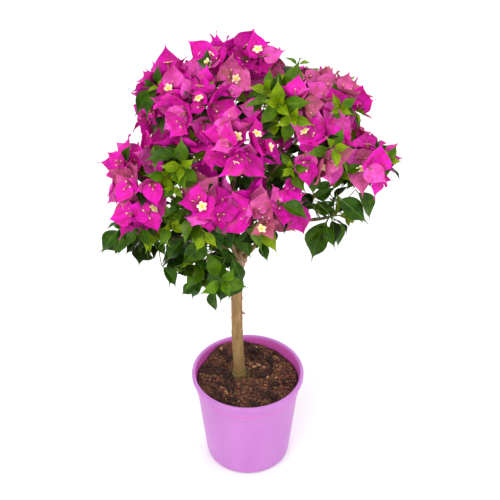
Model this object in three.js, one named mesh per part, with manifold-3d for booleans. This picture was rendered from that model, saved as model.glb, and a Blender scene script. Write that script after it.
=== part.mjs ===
// A bougainvillea grown as a small standard tree, in flower, in a lilac nursery pot.
// Sizes are millimetres, +Z is up and the plant's front faces -Y.
// The origin is the centre of the pot's flat underside.
import * as THREE from "three";
import { mergeVertices } from "three/addons/utils/BufferGeometryUtils.js";
import Module from "manifold-3d";

const wasm = await Module();
wasm.setup();

// Clearance between neighbouring pieces
const CLEARANCE = 0.3;

// Width of the slivers that joining two solids may leave and that are closed up
const SLIVER = 0.02;

// Pot: thin plastic, with a rolled lip, a flared collar and a gently tapering wall
const POT_HEIGHT = 141.5;
const POT_WALL = 2.2;
const LIP_RADIUS = 75;
const LIP_DEPTH = 9;
const COLLAR_TOP_RADIUS = 71.2;
const COLLAR_FOOT_RADIUS = 69;
const COLLAR_FOOT_HEIGHT = 113;
const COLLAR_STEP = 0.8;
const WALL_FOOT_RADIUS = 58;
const WALL_FOOT_HEIGHT = 12;
const UNDERSIDE_RADIUS = 51;
const LIP_ROLL = 2;
const LIP_CHAMFER = 1;
const FOOT_ROUND = 2.7;
const FLOOR_HEIGHT = 3.2;
const POT_SIDES = 32;

// Potting mix: its level, the height of its lumps and the level patch that the trunk rises from
const MIX_LEVEL = 127;
const MIX_RADIUS = 67.5;
const MIX_EDGE = 4;
const MIX_RING_STEP = 13;
const LUMP_HEIGHT = 1.5;
const MIX_SLOPE = 0.022;
const LEVEL_PATCH = 24;
const PATCH_EDGE = 20;

// Trunk: leaning slightly, flared at its foot, swollen where its head was pruned
const TRUNK_FOOT = [-11.7, 10, MIX_LEVEL + CLEARANCE];
const TRUNK_BENDS = [
  [-11.7, 10, 136],
  [-12.8, 10.5, 165],
  [-14, 11.4, 205],
  [-13.8, 12, 265],
];
const TRUNK_HEAD = [-11.5, 12, 327];
const TRUNK_SIDES = 10;
const TRUNK_STEPS = 16;
const TRUNK_RADIUS = 7.6;
const TRUNK_NECK_RADIUS = 6.8;
const FLARE_RADIUS = 10;
const FLARE_HEIGHT = 9;
const HEAD_RADIUS = 9.4;
const HEAD_HALF_LENGTH = 15;
const HEAD_MIDDLE = 0.945;
const SPUR_PLACE = [-6.4, 9.4, 233];
const SPUR_LENGTH = 10;
const SPUR_RADIUS = 2.4;
const SPUR_TURN = -0.4 * Math.PI;

// Boughs and twigs
const BOUGH_SIDES = 6;
const BOUGH_STEPS = 5;
const BOUGH_RADIUS = 3.4;
const BOUGH_TIP_RADIUS = 2.2;
const SIDE_BOUGH_SHARE = 0.78;
const BOUGH_RISE = 0.35;
const BOUGH_ARCH = 0.22;
const BOUGH_END_SHARE = 0.62;
const STEM_RADIUS = 2.5;
const STEM_TIP_RADIUS = 2;
const STEM_STEPS = 3;
const STEM_REACH = 0.35;
const JOINT_STEP = 3.6;
const TWIG_SIDES = 3;
const TWIG_RADIUS = 1.15;

// Leaves and bracts: outline, thickness at the midrib, fold of the sides and curl of the tip
const LEAF = { length: 50, width: 33, widest: 0.42, thickness: 1.5, fold: 2.4, curl: 5 };
const BRACT = { length: 38, width: 35, widest: 0.5, thickness: 1.2, fold: 1.6, curl: -2 };
const ROOT_DEPTH = 0.35;
const BRACT_STEP = 1.8;
const SIZES_TRIED = [1, 0.84, 0.7, 0.58];
const BRACT_SIZES = [0.88, 1.1];
const LEAF_SIZES = [0.8, 1.05];
const SMALL_LEAF_SIZES = [0.66, 0.9];
const AIMED_SIZE = 0.86;

// Sprays: how they are spread, turned and tilted
const FULL_TURN = 2 * Math.PI;
const GOLDEN_ANGLE = Math.PI * (3 - Math.sqrt(5));
const SPRAY_SHARE = 0.55;
const LEAF_SPRAY_SHARE = 0.5;
const SPRAY_JITTER = 0.22;
const UNDERSIDE = -0.3;
const INWARD_LIMIT = 0.62;
const TIP_DROOP = 0.9;
const BRACTS = 3;
const BRACT_TILT = 0.95;
const BRACT_TILT_SPREAD = 0.2;
const LEAVES_IN_SPRAY = 3;
const LEAF_TILT = 0.6;
const LEAF_TILT_STEP = 0.3;
const LEAF_GAP = 5;
const LEAF_DROOP = 0.4;
const SMALL_LEAF_RISE = 0.35;
const SMALL_LEAF_DROOP = 0.2;
const MASS_MARGIN = 0.4;
const REACH_LIMIT = 1.2;
const LIMB_MARGIN = 1.2;
const BEAD_STEP = 2;
const BOUGH_TIP_MARGIN = 6;
const TRUNK_SHOOT_MARGIN = 12;
const SEED_STEP = 1000;
const TWIG_SEEDS = 500;

// Masses of foliage. Each has the limb that its bough leaves and how far along, its centre and
// reach, the number of sprays, the share of them in flower, and the tips that stand out furthest.
const MASSES = {
  left: {
    from: ["trunk", 0.9], centre: [-121, -50, 486], reach: [42, 50, 38], sprays: 13, flowering: 0.9,
    tips: [["bract", -163, -45, 480], ["bract", -150, -40, 509], ["bract", -158, -72, 457]],
  },
  front_left: {
    from: ["trunk", 0.93], centre: [-46, -88, 462], reach: [46, 46, 40], sprays: 13, flowering: 0.85,
    tips: [],
  },
  front_right: {
    from: ["trunk", 0.96], centre: [24, -98, 464], reach: [50, 46, 42], sprays: 13, flowering: 0.85,
    tips: [["bract", 55, -100, 438]],
  },
  right: {
    from: ["trunk", 0.91], centre: [134, -28, 486], reach: [42, 50, 33], sprays: 13, flowering: 0.7,
    tips: [["bract", 178, -25, 489]],
  },
  back_right: {
    from: ["trunk", 0.95], centre: [66, 92, 506], reach: [52, 52, 44], sprays: 12, flowering: 0.85,
    tips: [],
  },
  back: {
    from: ["trunk", 0.92], centre: [-24, 118, 508], reach: [52, 48, 46], sprays: 12, flowering: 0.85,
    tips: [],
  },
  back_left: {
    from: ["trunk", 0.97], centre: [-90, 72, 480], reach: [50, 56, 46], sprays: 13, flowering: 0.8,
    tips: [],
  },
  crown_top: {
    from: ["trunk", 0.985], centre: [-22, 36, 568], reach: [54, 52, 40], sprays: 14, flowering: 1,
    tips: [["bract", 40, 32, 596], ["bract", -69, 45, 603], ["bract", 9, 30, 624]],
  },
  left_low: {
    from: ["left", 0.5], centre: [-112, -75, 443], reach: [42, 42, 34], sprays: 11, flowering: 0.9,
    tips: [["bract", -155, -78, 443], ["bract", -137, -80, 420]],
  },
  side_left: {
    from: ["left", 0.62], centre: [-70, -60, 508], reach: [44, 44, 42], sprays: 13, flowering: 0.4,
    tips: [],
  },
  low_left_out: {
    from: ["left", 0.24], centre: [-118, -42, 392], reach: [48, 42, 28], sprays: 8, flowering: 0,
    tips: [["leaf", -179, -40, 367], ["leaf", -157, -48, 362]],
  },
  centre: {
    from: ["front_left", 0.5], centre: [-6, -82, 538], reach: [44, 42, 40], sprays: 12, flowering: 0.85,
    tips: [],
  },
  low_front: {
    from: ["front_right", 0.22], centre: [13, -64, 403], reach: [28, 26, 24], sprays: 6, flowering: 0,
    tips: [["leaf", 3, -72, 364], ["leaf", 24, -70, 374]],
  },
  low_right: {
    from: ["right", 0.35], centre: [94, -48, 424], reach: [44, 42, 32], sprays: 10, flowering: 0,
    tips: [["leaf", 72, -57, 363], ["leaf", 102, -50, 376], ["leaf", 143, -35, 407]],
  },
  right_mid: {
    from: ["right", 0.5], centre: [70, -66, 522], reach: [46, 46, 40], sprays: 12, flowering: 0.65,
    tips: [],
  },
  right_back: {
    from: ["back_right", 0.4], centre: [116, 42, 460], reach: [42, 48, 38], sprays: 10, flowering: 0.6,
    tips: [],
  },
  shoulder: {
    from: ["back_right", 0.55], centre: [96, 8, 542], reach: [44, 48, 36], sprays: 13, flowering: 0.6,
    tips: [["bract", 138, 0, 553], ["bract", 116, 20, 575]],
  },
  crest: {
    from: ["crown_top", 0.5], centre: [40, -32, 554], reach: [44, 46, 40], sprays: 12, flowering: 0.3,
    tips: [["leaf", 58, 5, 600]],
  },
  crown_right: {
    from: ["back_right", 0.3], centre: [40, 42, 550], reach: [48, 46, 38], sprays: 14, flowering: 0.7,
    tips: [],
  },
  crown_mid: {
    from: ["crown_top", 0.42], centre: [-50, -38, 560], reach: [46, 46, 40], sprays: 12, flowering: 0.95,
    tips: [],
  },
  crown_left: {
    from: ["back_left", 0.5], centre: [-86, 20, 542], reach: [42, 50, 42], sprays: 13, flowering: 0.9,
    tips: [["leaf", -130, -5, 530], ["bract", -93, 40, 600], ["bract", -131, 5, 556]],
  },
  low_back: {
    from: ["back", 0.35], centre: [16, 66, 420], reach: [54, 46, 34], sprays: 9, flowering: 0,
    tips: [],
  },
  low_left: {
    from: ["trunk", 0.82], centre: [-60, -32, 350], reach: [46, 42, 44], sprays: 14, flowering: 0,
    tips: [["leaf", -104, -30, 311], ["leaf", -71, -35, 287], ["leaf", -41, -40, 273]],
  },
};
const SHOOT_ON_TRUNK = "low_left";

// Colours by material
const material = (color, roughness) => new THREE.MeshStandardMaterial({ color, roughness, metalness: 0 });
const LILAC_PLASTIC = material(0xdb90e0, 0.5);
const POTTING_MIX = material(0x583b30, 0.95);
const BARK = material(0x9b7a53, 0.85);
const BLOSSOM = material(0xc8189a, 0.6);
const FOLIAGE = material(0x2f5c1c, 0.55);

const UP = new THREE.Vector3(0, 0, 1);
const FRONT = new THREE.Vector3(0, -0.8, 0.6);
const AIMED = { face: FRONT, size: AIMED_SIZE, limit: Infinity };
const vector = (list) => new THREE.Vector3(...list);
const mix = (a, b, share) => a.clone().lerp(b, share);
const between = (low, high, share) => low + (high - low) * share;

// Repeatable random numbers from 0 to 1
function seeded(seed) {
  let state = seed;
  const next = () => {
    state = (state * 1664525 + 1013904223) % 4294967296;
    return state / 4294967296;
  };
  for (let i = 0; i < 3; i++) next();
  return next;
}

// A closed three.js geometry as a solid
function solid(geometry) {
  geometry.deleteAttribute("normal");
  geometry.deleteAttribute("uv");
  const merged = mergeVertices(geometry, 1e-4);
  const index = merged.index.array;
  const faces = [];
  for (let i = 0; i < index.length; i += 3) {
    const [a, b, c] = index.subarray(i, i + 3);
    if (a !== b && b !== c && c !== a) faces.push(a, b, c);
  }
  const vertProperties = merged.getAttribute("position").array;
  return new wasm.Manifold(new wasm.Mesh({ numProp: 3, vertProperties, triVerts: new Uint32Array(faces) }));
}

// A solid as a named mesh
function piece(name, body, finish) {
  const { vertProperties, triVerts } = body.getMesh();
  const geometry = new THREE.BufferGeometry();
  geometry.setAttribute("position", new THREE.BufferAttribute(new Float32Array(vertProperties), 3));
  geometry.setIndex(new THREE.BufferAttribute(new Uint32Array(triVerts), 1));
  geometry.computeVertexNormals();
  const mesh = new THREE.Mesh(geometry, finish);
  mesh.name = name;
  return mesh;
}

// The largest body of a joined solid, without loose scraps, sealed hollows or the slivers of its joins
function mainBody(body) {
  const largest = body.decompose().reduce((best, other) => (other.volume() > best.volume() ? other : best));
  return largest.simplify(SLIVER);
}

// A turned solid on the Z axis from an outline of [radius, height] points
function turned(outline, sides) {
  const profile = outline.map(([radius, height]) => new THREE.Vector2(radius, height));
  return new THREE.LatheGeometry(profile, sides).rotateX(Math.PI / 2);
}

function makePot() {
  const inner = (radius) => radius - POT_WALL;
  const lipFoot = POT_HEIGHT - LIP_DEPTH;
  const outline = [
    [0, 0],
    [UNDERSIDE_RADIUS, 0],
    [WALL_FOOT_RADIUS - FOOT_ROUND, FOOT_ROUND],
    [WALL_FOOT_RADIUS, WALL_FOOT_HEIGHT],
    [COLLAR_FOOT_RADIUS - COLLAR_STEP, COLLAR_FOOT_HEIGHT - COLLAR_STEP],
    [COLLAR_FOOT_RADIUS, COLLAR_FOOT_HEIGHT],
    [COLLAR_TOP_RADIUS, lipFoot],
    [LIP_RADIUS - LIP_CHAMFER, lipFoot + LIP_CHAMFER],
    [LIP_RADIUS, lipFoot + LIP_ROLL],
    [LIP_RADIUS, POT_HEIGHT - LIP_ROLL],
    [LIP_RADIUS - LIP_CHAMFER, POT_HEIGHT],
    [inner(LIP_RADIUS), POT_HEIGHT],
    [inner(LIP_RADIUS) - LIP_CHAMFER, POT_HEIGHT - LIP_ROLL],
    [inner(COLLAR_TOP_RADIUS), lipFoot],
    [inner(COLLAR_FOOT_RADIUS), COLLAR_FOOT_HEIGHT],
    [inner(WALL_FOOT_RADIUS), WALL_FOOT_HEIGHT],
    [inner(UNDERSIDE_RADIUS), FLOOR_HEIGHT],
    [0, FLOOR_HEIGHT],
  ];
  return solid(turned(outline, POT_SIDES));
}

// Height of the mix's lumps above its level, fading out towards the trunk
function lumps(x, y) {
  const slope = MIX_SLOPE * (0.6 * y - x);
  const waves = Math.sin(x / 9 + 1) * Math.cos(y / 8) + 0.5 * Math.sin(x / 4.3 + 2) * Math.sin(y / 5.1);
  const away = Math.hypot(x - TRUNK_FOOT[0], y - TRUNK_FOOT[1]);
  const fade = THREE.MathUtils.smoothstep(away, LEVEL_PATCH, LEVEL_PATCH + PATCH_EDGE);
  return (slope + LUMP_HEIGHT * waves) * fade;
}

function makePottingMix() {
  const gap = POT_WALL + CLEARANCE;
  const outline = [
    [0, FLOOR_HEIGHT + CLEARANCE],
    [UNDERSIDE_RADIUS - gap, FLOOR_HEIGHT + CLEARANCE],
    [WALL_FOOT_RADIUS - gap, WALL_FOOT_HEIGHT],
    [COLLAR_FOOT_RADIUS - gap, COLLAR_FOOT_HEIGHT],
    [MIX_RADIUS, MIX_LEVEL - MIX_EDGE],
  ];
  for (let radius = MIX_RADIUS; radius > 0; radius -= MIX_RING_STEP) outline.push([radius, MIX_LEVEL]);
  outline.push([0, MIX_LEVEL]);
  const geometry = turned(outline, POT_SIDES);
  const place = geometry.getAttribute("position");
  for (let i = 0; i < place.count; i++) {
    if (place.getZ(i) < MIX_LEVEL - MIX_EDGE / 2) continue;
    place.setZ(i, MIX_LEVEL + lumps(place.getX(i), place.getY(i)));
  }
  return solid(geometry);
}

// A limb is a straight turned piece bent along its curve; radiusAt takes the share of its length.
// A swollen limb is the same one made thicker and longer all round.
function bentLimb({ curve, radiusAt, sides, steps }, swell = 0) {
  const profile = [new THREE.Vector2(0, 0)];
  for (let i = 0; i <= steps; i++) profile.push(new THREE.Vector2(radiusAt(i / steps) + swell, i));
  profile.push(new THREE.Vector2(0, steps));
  const geometry = new THREE.LatheGeometry(profile, sides);
  const { tangents, normals, binormals } = curve.computeFrenetFrames(steps, false);
  const place = geometry.getAttribute("position");
  for (let i = 0; i < place.count; i++) {
    const step = Math.round(place.getY(i));
    const point = curve.getPointAt(step / steps);
    point.addScaledVector(binormals[step], place.getX(i));
    point.addScaledVector(normals[step], place.getZ(i));
    if (step === 0) point.addScaledVector(tangents[step], -swell);
    if (step === steps) point.addScaledVector(tangents[step], swell);
    place.setXYZ(i, point.x, point.y, point.z);
  }
  return solid(geometry);
}

function trunkLimb() {
  const curve = new THREE.CatmullRomCurve3([TRUNK_FOOT, ...TRUNK_BENDS, TRUNK_HEAD].map(vector));
  const length = curve.getLength();
  const radiusAt = (share) => {
    const flare = (FLARE_RADIUS - TRUNK_RADIUS) * Math.exp((-share * length) / FLARE_HEIGHT);
    const offHead = ((share - HEAD_MIDDLE) * length) / HEAD_HALF_LENGTH;
    const head = (HEAD_RADIUS - TRUNK_NECK_RADIUS) * Math.exp(-2 * offHead * offHead);
    return between(TRUNK_RADIUS, TRUNK_NECK_RADIUS, share) + flare + head;
  };
  return { curve, radiusAt, sides: TRUNK_SIDES, steps: TRUNK_STEPS };
}

function makeTrunk(trunk) {
  const spur = new THREE.ConeGeometry(SPUR_RADIUS, SPUR_LENGTH, BOUGH_SIDES);
  spur.rotateZ(SPUR_TURN);
  spur.translate(...SPUR_PLACE);
  return bentLimb(trunk).add(solid(spur));
}

// A bough arches from its parent limb to the near side of the mass that it carries
function boughLimb(parent, share, centre, reach) {
  const start = parent.curve.getPointAt(share);
  const rising = parent.curve.getTangentAt(share);
  const heading = centre.clone().sub(start).normalize();
  const inside = BOUGH_END_SHARE * Math.min(reach.x, reach.y, reach.z);
  const end = centre.clone().addScaledVector(heading, -inside);
  const pull = start.distanceTo(end) / 3;
  const out = heading.clone().addScaledVector(rising, BOUGH_RISE).normalize();
  const on = heading.clone().addScaledVector(rising, -BOUGH_ARCH).normalize();
  const leave = start.clone().addScaledVector(out, pull);
  const arrive = end.clone().addScaledVector(on, -pull);
  const curve = new THREE.CubicBezierCurve3(start, leave, arrive, end);
  const thick = Math.min(BOUGH_RADIUS, parent.radiusAt(share) * SIDE_BOUGH_SHARE);
  const radiusAt = (along) => between(thick, Math.min(thick, BOUGH_TIP_RADIUS), Math.sqrt(along));
  return { curve, radiusAt, sides: BOUGH_SIDES, steps: BOUGH_STEPS };
}

// A mass keeps to its side of the planes between it and the other masses
function spaceOf(name) {
  const own = MASSES[name];
  const size = (mass) => Math.cbrt(mass.reach[0] * mass.reach[1] * mass.reach[2]);
  const centre = vector(own.centre);
  return Object.values(MASSES).filter((mass) => mass !== own).map((mass) => {
    const other = vector(mass.centre);
    const towards = other.clone().sub(centre);
    const apart = towards.length();
    const edge = (apart * apart + size(own) ** 2 - size(mass) ** 2) / (2 * apart) - MASS_MARGIN;
    return new THREE.Plane(towards.divideScalar(apart), -towards.dot(centre) - edge);
  });
}
const inSpace = (space, point) => space.every((plane) => plane.distanceToPoint(point) < 0);

// Points along the limbs, with the limb's radius at each
function limbBeads(limbs) {
  return limbs.flatMap(({ curve, radiusAt }) => {
    const count = Math.ceil(curve.getLength() / BEAD_STEP);
    return Array.from({ length: count + 1 }, (_, i) => ({
      point: curve.getPointAt(i / count),
      radius: radiusAt(i / count) + LIMB_MARGIN,
    }));
  });
}
const clearOf = (beads, point) => beads.every((bead) => bead.point.distanceTo(point) > bead.radius);

// A straight three-sided twig between two points
function twigSolid(start, end) {
  const corners = Array.from({ length: TWIG_SIDES }, (_, i) => {
    const turn = (FULL_TURN * i) / TWIG_SIDES;
    return new THREE.Vector2(TWIG_RADIUS * Math.cos(turn), TWIG_RADIUS * Math.sin(turn));
  });
  const settings = { depth: start.distanceTo(end), bevelEnabled: false };
  const geometry = new THREE.ExtrudeGeometry(new THREE.Shape(corners), settings);
  const along = end.clone().sub(start).normalize();
  geometry.applyQuaternion(new THREE.Quaternion().setFromUnitVectors(UP, along));
  return solid(geometry.translate(start.x, start.y, start.z));
}

// The corners of a leaf or bract that grows along a direction with its face to another
function bladeCorners({ shape, root, along, face, size }) {
  const length = shape.length * size;
  const normal = face.clone().addScaledVector(along, -face.dot(along)).normalize();
  const side = along.clone().cross(normal);
  const at = (across, forward, above) =>
    root.clone().addScaledVector(side, across).addScaledVector(along, forward).addScaledVector(normal, above);
  const middle = length * shape.widest;
  const half = (shape.width * size) / 2;
  return {
    root: at(0, -ROOT_DEPTH, 0),
    tip: at(0, length, -shape.curl * size),
    right: at(half, middle, shape.fold * size),
    left: at(-half, middle, shape.fold * size),
    rib: at(0, middle, shape.fold * size - shape.thickness),
  };
}

// A leaf or bract has a flat face inside its outline and a keel along its rib
const BLADE_FACES = [[0, 2, 3], [1, 3, 2], [0, 4, 2], [0, 3, 4], [1, 2, 4], [1, 4, 3]].flat();
function bladeSolid({ root, tip, right, left, rib }) {
  const geometry = new THREE.BufferGeometry().setFromPoints([root, tip, right, left, rib]);
  return solid(geometry.setIndex(BLADE_FACES));
}

// Points spread over a blade's four flat parts
function bladeSamples({ root, tip, right, left, rib }) {
  const rows = 5;
  const samples = [];
  for (const end of [root, tip]) {
    for (const edge of [right, left]) {
      for (let i = 0; i <= rows; i++) {
        for (let j = 0; i + j <= rows; j++) {
          const point = mix(rib, end, i / rows);
          samples.push(point.addScaledVector(edge.clone().sub(rib), j / rows));
        }
      }
    }
  }
  return samples;
}

// Whether a leaf or bract would be crossed by any of some straight edges
const ray = new THREE.Ray();
function crossedBy({ root, tip, right, left, rib }, edges) {
  const parts = [[root, right, rib], [root, rib, left], [tip, rib, right], [tip, left, rib]];
  return edges.some(([a, b]) => {
    ray.origin.copy(a);
    ray.direction.copy(b).sub(a).normalize();
    const length = a.distanceTo(b);
    return parts.some(([p, q, r]) => {
      const met = ray.intersectTriangle(p, q, r, false, new THREE.Vector3());
      return met && met.distanceTo(a) < length;
    });
  });
}

// A blade's edges and midrib, from just outside the twig that holds it
function edgesOf({ root, tip, right, left, rib }) {
  const foot = mix(root, rib, TWIG_RADIUS / root.distanceTo(rib));
  const spokes = [foot, tip, right, left].map((corner) => [rib, corner]);
  return [...spokes, [foot, right], [foot, left], [tip, right], [tip, left]];
}
const blocks = (a, b) => crossedBy(a, edgesOf(b)) || crossedBy(b, edgesOf(a));

// Any direction square to another one, turned round it by an angle
function square(axis, turn) {
  const helper = Math.abs(axis.z) < 0.9 ? UP : new THREE.Vector3(1, 0, 0);
  return helper.clone().cross(axis).normalize().applyAxisAngle(axis, turn);
}

// A blossom is three bracts round an axis; the first may be aimed
function blossom(base, axis, run, random, aim) {
  const blades = [];
  const aside = (direction) => direction.clone().addScaledVector(axis, -direction.dot(axis)).normalize();
  const start = aim ? aside(aim) : square(axis, random() * FULL_TURN);
  for (let i = 0; i < BRACTS; i++) {
    const tilt = BRACT_TILT + BRACT_TILT_SPREAD * (random() * 2 - 1);
    const size = between(...BRACT_SIZES, random());
    const out = start.clone().applyAxisAngle(axis, (FULL_TURN * i) / BRACTS);
    const opened = axis.clone().multiplyScalar(Math.cos(tilt)).addScaledVector(out, Math.sin(tilt));
    const root = base.clone().addScaledVector(axis, -Math.min(BRACT_STEP * i, run));
    const bract = { shape: BRACT, root, along: opened, face: axis, size };
    blades.push(aim && i === 0 ? { ...bract, ...AIMED, along: aim } : bract);
  }
  const root = base.clone().addScaledVector(axis, -Math.min(BRACT_STEP * BRACTS + LEAF_GAP / 2, run));
  const along = square(axis, random() * FULL_TURN).addScaledVector(axis, SMALL_LEAF_RISE);
  along.addScaledVector(UP, -SMALL_LEAF_DROOP).normalize();
  blades.push({ shape: LEAF, root, along, face: axis, size: between(...SMALL_LEAF_SIZES, random()) });
  return blades;
}

// A leafy shoot has leaves at a golden angle round its end, drooping a little
function leafyShoot(base, axis, run, random, aim) {
  const blades = [];
  const turn = random() * FULL_TURN;
  for (let i = 0; i < LEAVES_IN_SPRAY; i++) {
    const tilt = LEAF_TILT + LEAF_TILT_STEP * i;
    const size = between(...LEAF_SIZES, random());
    const root = base.clone().addScaledVector(axis, -Math.min(LEAF_GAP * i, run));
    const along = axis.clone().multiplyScalar(Math.cos(tilt));
    along.addScaledVector(square(axis, turn + GOLDEN_ANGLE * i), Math.sin(tilt));
    along.addScaledVector(UP, -LEAF_DROOP).normalize();
    const leaf = { shape: LEAF, root, along, face: UP.clone().add(axis), size };
    blades.push(aim && i === 0 ? { ...leaf, ...AIMED, along: aim } : leaf);
  }
  return blades;
}

// Where a mass's sprays stand, which way they point and what they bear
function spraysOf(mass, inward) {
  const centre = vector(mass.centre);
  const reach = vector(mass.reach);
  const sprays = mass.tips.map(([kind, ...place]) => {
    const tip = vector(place);
    const { length } = kind === "bract" ? BRACT : LEAF;
    const droop = kind === "leaf" && tip.z < centre.z ? TIP_DROOP : 0;
    const aim = tip.clone().sub(centre).normalize().addScaledVector(UP, -droop).normalize();
    const base = tip.clone().addScaledVector(aim, -length * AIMED_SIZE);
    return { kind, base, aim };
  });
  for (let i = 0; i < mass.sprays; i++) {
    const random = seeded(mass.seed + i);
    const height = 1 - (2 * i + 1) / mass.sprays;
    const turn = GOLDEN_ANGLE * i + mass.seed;
    const level = Math.sqrt(1 - height * height);
    const axis = new THREE.Vector3(level * Math.cos(turn), level * Math.sin(turn), height);
    if (axis.dot(inward) > INWARD_LIMIT) continue;
    const flowers = height > UNDERSIDE && random() < mass.flowering;
    const share = (flowers ? SPRAY_SHARE : LEAF_SPRAY_SHARE) * (1 + SPRAY_JITTER * (2 * random() - 1));
    const base = centre.clone().addScaledVector(axis.clone().multiply(reach), share);
    sprays.push({ kind: flowers ? "bract" : "leaf", base });
  }
  return sprays;
}

// A mass of foliage: one stem, twigs that each join the nearest part already grown, and sprays
function growMass(name, mass, start, heading, beads) {
  const space = spaceOf(name);
  const centre = vector(mass.centre);
  const reach = vector(mass.reach);
  const inward = start.clone().sub(centre).normalize();
  const fits = (points, limit) =>
    points.every((point) => {
      const reached = point.clone().sub(centre).divide(reach).length();
      return reached < limit && inSpace(space, point) && clearOf(beads, point);
    });
  const far = centre.clone().addScaledVector(inward, -STEM_REACH * Math.min(...mass.reach));
  const bend = start.clone().addScaledVector(heading, start.distanceTo(far) / 2);
  const stem = new THREE.QuadraticBezierCurve3(start, bend, far);
  const radiusAt = (share) => between(STEM_RADIUS, STEM_TIP_RADIUS, share);
  const solids = [bentLimb({ curve: stem, radiusAt, sides: TWIG_SIDES, steps: STEM_STEPS })];
  const jointCount = Math.floor(stem.getLength() / JOINT_STEP);
  const joints = Array.from({ length: jointCount }, (_, i) => stem.getPointAt((i + 0.5) / jointCount));
  const grown = [];
  const stemPoints = stem.getPoints(2 * STEM_STEPS);
  const twigEdges = stemPoints.slice(1).map((point, i) => [stemPoints[i], point]);
  spraysOf(mass, inward).forEach(({ kind, base, aim }, number) => {
    const random = seeded(mass.seed + TWIG_SEEDS + number);
    if (!joints.length) return;
    const near = joints.reduce((a, b) => (a.distanceTo(base) < b.distanceTo(base) ? a : b));
    const run = near.distanceTo(base);
    const along = base.clone().sub(near).normalize();
    const points = [0.25, 0.5, 0.75, 1].map((share) => mix(near, base, share));
    if (!fits(points, Infinity) || grown.some((blade) => crossedBy(blade, [[near, base]]))) return;
    const make = kind === "bract" ? blossom : leafyShoot;
    const before = grown.length;
    for (const blade of make(base, along, run, random, aim)) {
      const found = SIZES_TRIED.map((share) => bladeCorners({ ...blade, size: blade.size * share })).find(
        (corners) =>
          fits(bladeSamples(corners), blade.limit ?? REACH_LIMIT) &&
          !crossedBy(corners, twigEdges) &&
          !grown.some((other) => blocks(corners, other)),
      );
      if (found) grown.push(found);
    }
    if (grown.length === before) return;
    solids.push(twigSolid(near, base));
    joints.splice(joints.indexOf(near), 1);
    twigEdges.push([near, base]);
  });
  solids.push(...grown.map(bladeSolid));
  return solids;
}

// The whole plant in its pot
function makePlant() {
  const plant = new THREE.Group();
  plant.add(piece("pot", makePot(), LILAC_PLASTIC));
  plant.add(piece("potting_mix", makePottingMix(), POTTING_MIX));

  const limbs = { trunk: trunkLimb() };
  const trunk = makeTrunk(limbs.trunk);
  plant.add(piece("trunk", trunk, BARK));
  let cleared = bentLimb(limbs.trunk, CLEARANCE);
  for (const [name, mass] of Object.entries(MASSES)) {
    if (name === SHOOT_ON_TRUNK) continue;
    const [parent, share] = mass.from;
    limbs[name] = boughLimb(limbs[parent], share, vector(mass.centre), vector(mass.reach));
    plant.add(piece("bough_" + name, mainBody(bentLimb(limbs[name]).subtract(cleared)), BARK));
    cleared = cleared.add(bentLimb(limbs[name], CLEARANCE));
  }

  const beads = limbBeads(Object.values(limbs));
  Object.entries(MASSES).forEach(([name, mass], number) => {
    mass.seed = SEED_STEP * (number + 1);
    const onTrunk = name === SHOOT_ON_TRUNK;
    const { curve } = limbs[onTrunk ? "trunk" : name];
    const end = curve.getPointAt(onTrunk ? mass.from[1] : 1);
    const heading = onTrunk ? vector(mass.centre).sub(end).normalize() : curve.getTangentAt(1);
    const start = onTrunk ? end : end.clone().addScaledVector(heading, CLEARANCE);
    const margin = onTrunk ? TRUNK_SHOOT_MARGIN : BOUGH_TIP_MARGIN;
    const ownBeads = beads.filter((bead) => bead.point.distanceTo(end) > margin);
    const grown = growMass(name, mass, start, heading, ownBeads);
    const joined = grown.reduce((a, b) => a.add(b));
    const finish = mass.flowering > 0.5 ? BLOSSOM : FOLIAGE;
    plant.add(piece("foliage_" + name, mainBody(onTrunk ? joined.subtract(cleared) : joined), finish));
  });
  return plant;
}

export default makePlant();
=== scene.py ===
"""A bougainvillea standard in flower in its lilac pot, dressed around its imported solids.

Growth is worked out in millimetres, +Z up and the plant's front to -Y, by the rule of its
solids, and each piece is scaled to metres when it is made.
"""

import math
import random

import bpy
import numpy as np
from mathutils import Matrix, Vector, noise
from mathutils.bvhtree import BVHTree


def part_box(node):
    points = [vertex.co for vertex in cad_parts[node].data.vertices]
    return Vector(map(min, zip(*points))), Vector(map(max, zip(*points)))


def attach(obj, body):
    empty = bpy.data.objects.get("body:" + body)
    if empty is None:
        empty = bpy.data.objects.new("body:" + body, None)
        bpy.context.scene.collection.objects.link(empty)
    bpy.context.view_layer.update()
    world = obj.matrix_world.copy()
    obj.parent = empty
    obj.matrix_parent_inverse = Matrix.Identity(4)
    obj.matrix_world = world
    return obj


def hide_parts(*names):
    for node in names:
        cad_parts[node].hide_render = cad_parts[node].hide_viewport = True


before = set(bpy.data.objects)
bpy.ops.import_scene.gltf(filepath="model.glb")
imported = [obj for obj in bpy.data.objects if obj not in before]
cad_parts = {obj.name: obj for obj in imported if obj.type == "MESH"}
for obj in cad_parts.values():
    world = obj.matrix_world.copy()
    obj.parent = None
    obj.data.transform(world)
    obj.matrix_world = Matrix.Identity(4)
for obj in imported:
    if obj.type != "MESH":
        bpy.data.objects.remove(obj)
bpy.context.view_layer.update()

MM = 0.001
UP = np.array([0.0, 0.0, 1.0])
FRONT = np.array([0.0, -0.8, 0.6])
FULL_TURN = 2 * math.pi
GOLDEN_ANGLE = math.pi * (3 - math.sqrt(5))

# The photo's viewpoint
CAMERA_PLACE = (3.0, -1111.7, 1148.5)
CAMERA_PITCH = 35.99
CAMERA_LENS = 79.92
CAMERA_SENSOR = 36.0
PHOTO_SIDE = 500

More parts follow.
